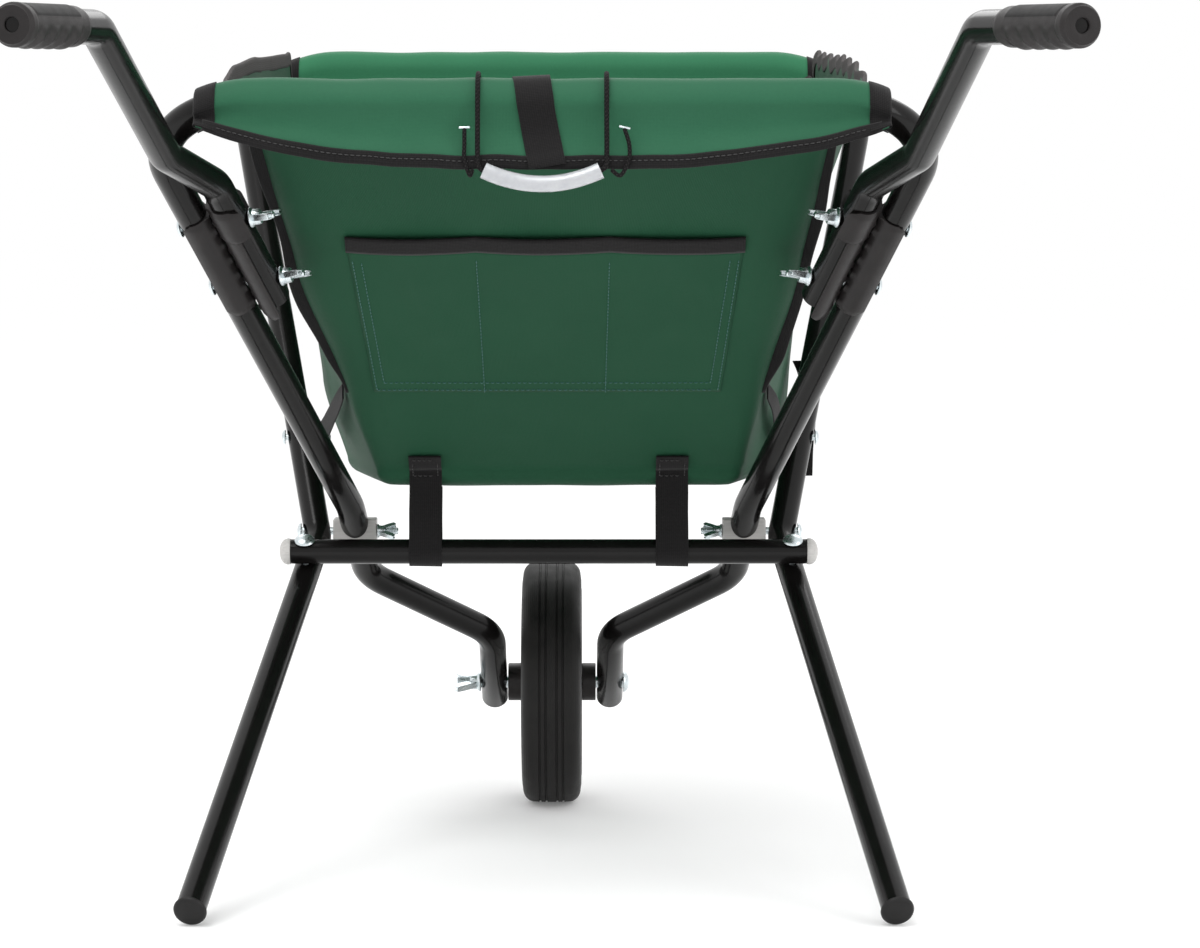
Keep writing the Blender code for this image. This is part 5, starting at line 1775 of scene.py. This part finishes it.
def build_carry_handle():
    """Braided cord over the rear hem, through a clear hose, with crimped tails beside it."""
    bar = rear_bar_at(0.0)
    back = bar.y - 0.0170 - 0.0038
    half = 0.0390
    level = 0.5170
    line = []
    for k in range(33):
        t = -1 + 2 * k / 32
        line.append(Vector((half * t, back - 0.0040, level - 0.0090 * (1 - t * t))))
    bm = bmesh.new()
    outer = sweep(bm, line, [0.0056] * len(line), 40, caps=False)
    inner = sweep(bm, line, [0.0040] * len(line), 40, caps=False)
    for a, b in ((outer[0], inner[0]), (outer[-1], inner[-1])):
        for k in range(40):
            after = (k + 1) % 40
            bm.faces.new((a[k], a[after], b[after], b[k]))
    finish("carry_hose", bm, CLEAR, "carry_handle", ["carry_grip"], 50.0)
    arc = 0.0170 + 0.0028
    points = []
    route = []
    for angle in (62, 90, 125, 160):
        a = math.radians(angle)
        route.append((arc * math.cos(a), bar.z + arc * math.sin(a)))
    route.append((back + 0.0003 - bar.y, bar.z - 0.012))
    route.append((back - 0.0010 - bar.y, level + 0.010))
    x = half + 0.0040
    for y, z in route:
        points.append(Vector((-x, bar.y + y, z)))
    points.append(Vector((-x + 0.0016, back - 0.0036, level + 0.0015)))
    inside = [p for p in line[3:-3:4]]
    far = [Vector((-p.x, p.y, p.z)) for p in reversed(points)]
    path = curve_through(points + inside + far, 6)
    bm = bmesh.new()
    layer = bm.loops.layers.uv.new("weave")
    tube_path, radii = domed(path, 0.0017, 0.0011)
    sweep(bm, tube_path, radii, 20, uv_layer=layer)
    finish(
        "carry_cord", bm, BRAID, "carry_handle",
        ["carry_cord_left", "carry_cord_right"], 60.0,
    )
    for word, side in SIDES:
        reach = 0.0088 if side < 0 else 0.0120
        top = Vector(((x + reach) * side, back + 0.0012, bar.z - 0.0180))
        bow = 0.0 if side < 0 else 0.0030
        points = [
            top, top + Vector((bow * side, -0.0010, -0.010)),
            top + Vector((bow * 0.9 * side, -0.0022, -0.020)),
            top + Vector(((bow * 0.3 - 0.0035) * side, -0.0026, -0.0305)),
            Vector(((x + 0.0036) * side, back - 0.0028, level + 0.0000)),
        ]
        bm = bmesh.new()
        layer = bm.loops.layers.uv.new("weave")
        tube_path, radii = domed(curve_through(points, 7), 0.0014, 0.0009)
        sweep(bm, tube_path, radii, 16, uv_layer=layer)
        finish("carry_tail_" + word, bm, BRAID, "carry_handle", smooth=60.0)
        bm = bmesh.new()
        lean = Vector((0.0034 * side, 0.0, -0.0006 * (side > 0)))
        crimp, radii = domed(
            [top + lean + Vector((0, 0, 0.0012)), top - lean + Vector((0, 0, 0.0014))], 0.00085,
            0.0005,
        )
        sweep(bm, crimp, radii, 12)
        finish("carry_crimp_" + word, bm, ZINC, "carry_handle", smooth=60.0)


# ---------------------------------------------------------------- build

GLOSS = painted_tube()
PLASTIC = moulded("clamp_plastic", (0.009, 0.008, 0.008), (0.021, 0.018, 0.018), 0.36)
FOOT = moulded("foot_plastic", (0.007, 0.007, 0.007), (0.018, 0.017, 0.017), 0.42)
RUBBER = moulded(
    "grip_rubber", (0.009, 0.008, 0.008), (0.026, 0.023, 0.023), 0.46, 1100.0, 0.00025,
)
GRIP_PANEL = moulded(
    "grip_palm", (0.005, 0.005, 0.005), (0.012, 0.011, 0.011), 0.62, 700.0, 0.0004,
)
ZINC = zinc()
GREY = brushed_grey("grey_nylon", (0.36, 0.35, 0.34), (0.62, 0.61, 0.59))
PALE = brushed_grey("pale_nylon", (0.52, 0.52, 0.51), (0.72, 0.72, 0.71))
TYRE = tyre_rubber()
# Copies of one green cloth that differ only by painted light and shade: the front hem's is lighter
# than the rear hem's as painted light.
REAR_GREEN = oxford("green_oxford_rear", (0.017, 0.088, 0.046), (0.030, 0.124, 0.066))
FRONT_HEM_GREEN_PAINTED_LIGHT = oxford("green_oxford_front_painted_light", (0.022, 0.132, 0.062), (0.036, 0.180, 0.088))
# The tub's and pocket's copy of the green cloth is darker than the hems': painted shade for the
# downward-facing rear panel.
TUB_GREEN_PAINTED_SHADE = oxford("green_oxford", (0.007, 0.046, 0.022), (0.015, 0.072, 0.036))
WEBBING = woven_webbing("black_webbing", (0.004, 0.004, 0.004), (0.018, 0.016, 0.017))
BINDING = woven_webbing("binding_tape", (0.018, 0.015, 0.015), (0.060, 0.050, 0.050))
BRAID = braided("black_braid")
BLACK_THREAD = thread("black_thread", (0.006, 0.006, 0.006), (0.022, 0.020, 0.021))
TEAL_THREAD = thread("teal_thread", (0.010, 0.075, 0.070), (0.022, 0.130, 0.115))
CLEAR = clear_sleeve()

build_camera()
build_stage()
build_tubes()
build_wheel()
tub_cloth = build_tub()
rear_rows = build_hem("rear_hem", "hem_rear", "rear_frame", rear_bar_at, 0.5190, -1)
build_hem("front_hem", "hem_front", "front_frame", front_bar_at, 0.5660, 1)
build_edge_tapes()
build_pocket()
build_bottom_straps()
build_side_ties()
build_centre_strap(rear_rows)
build_carry_handle()
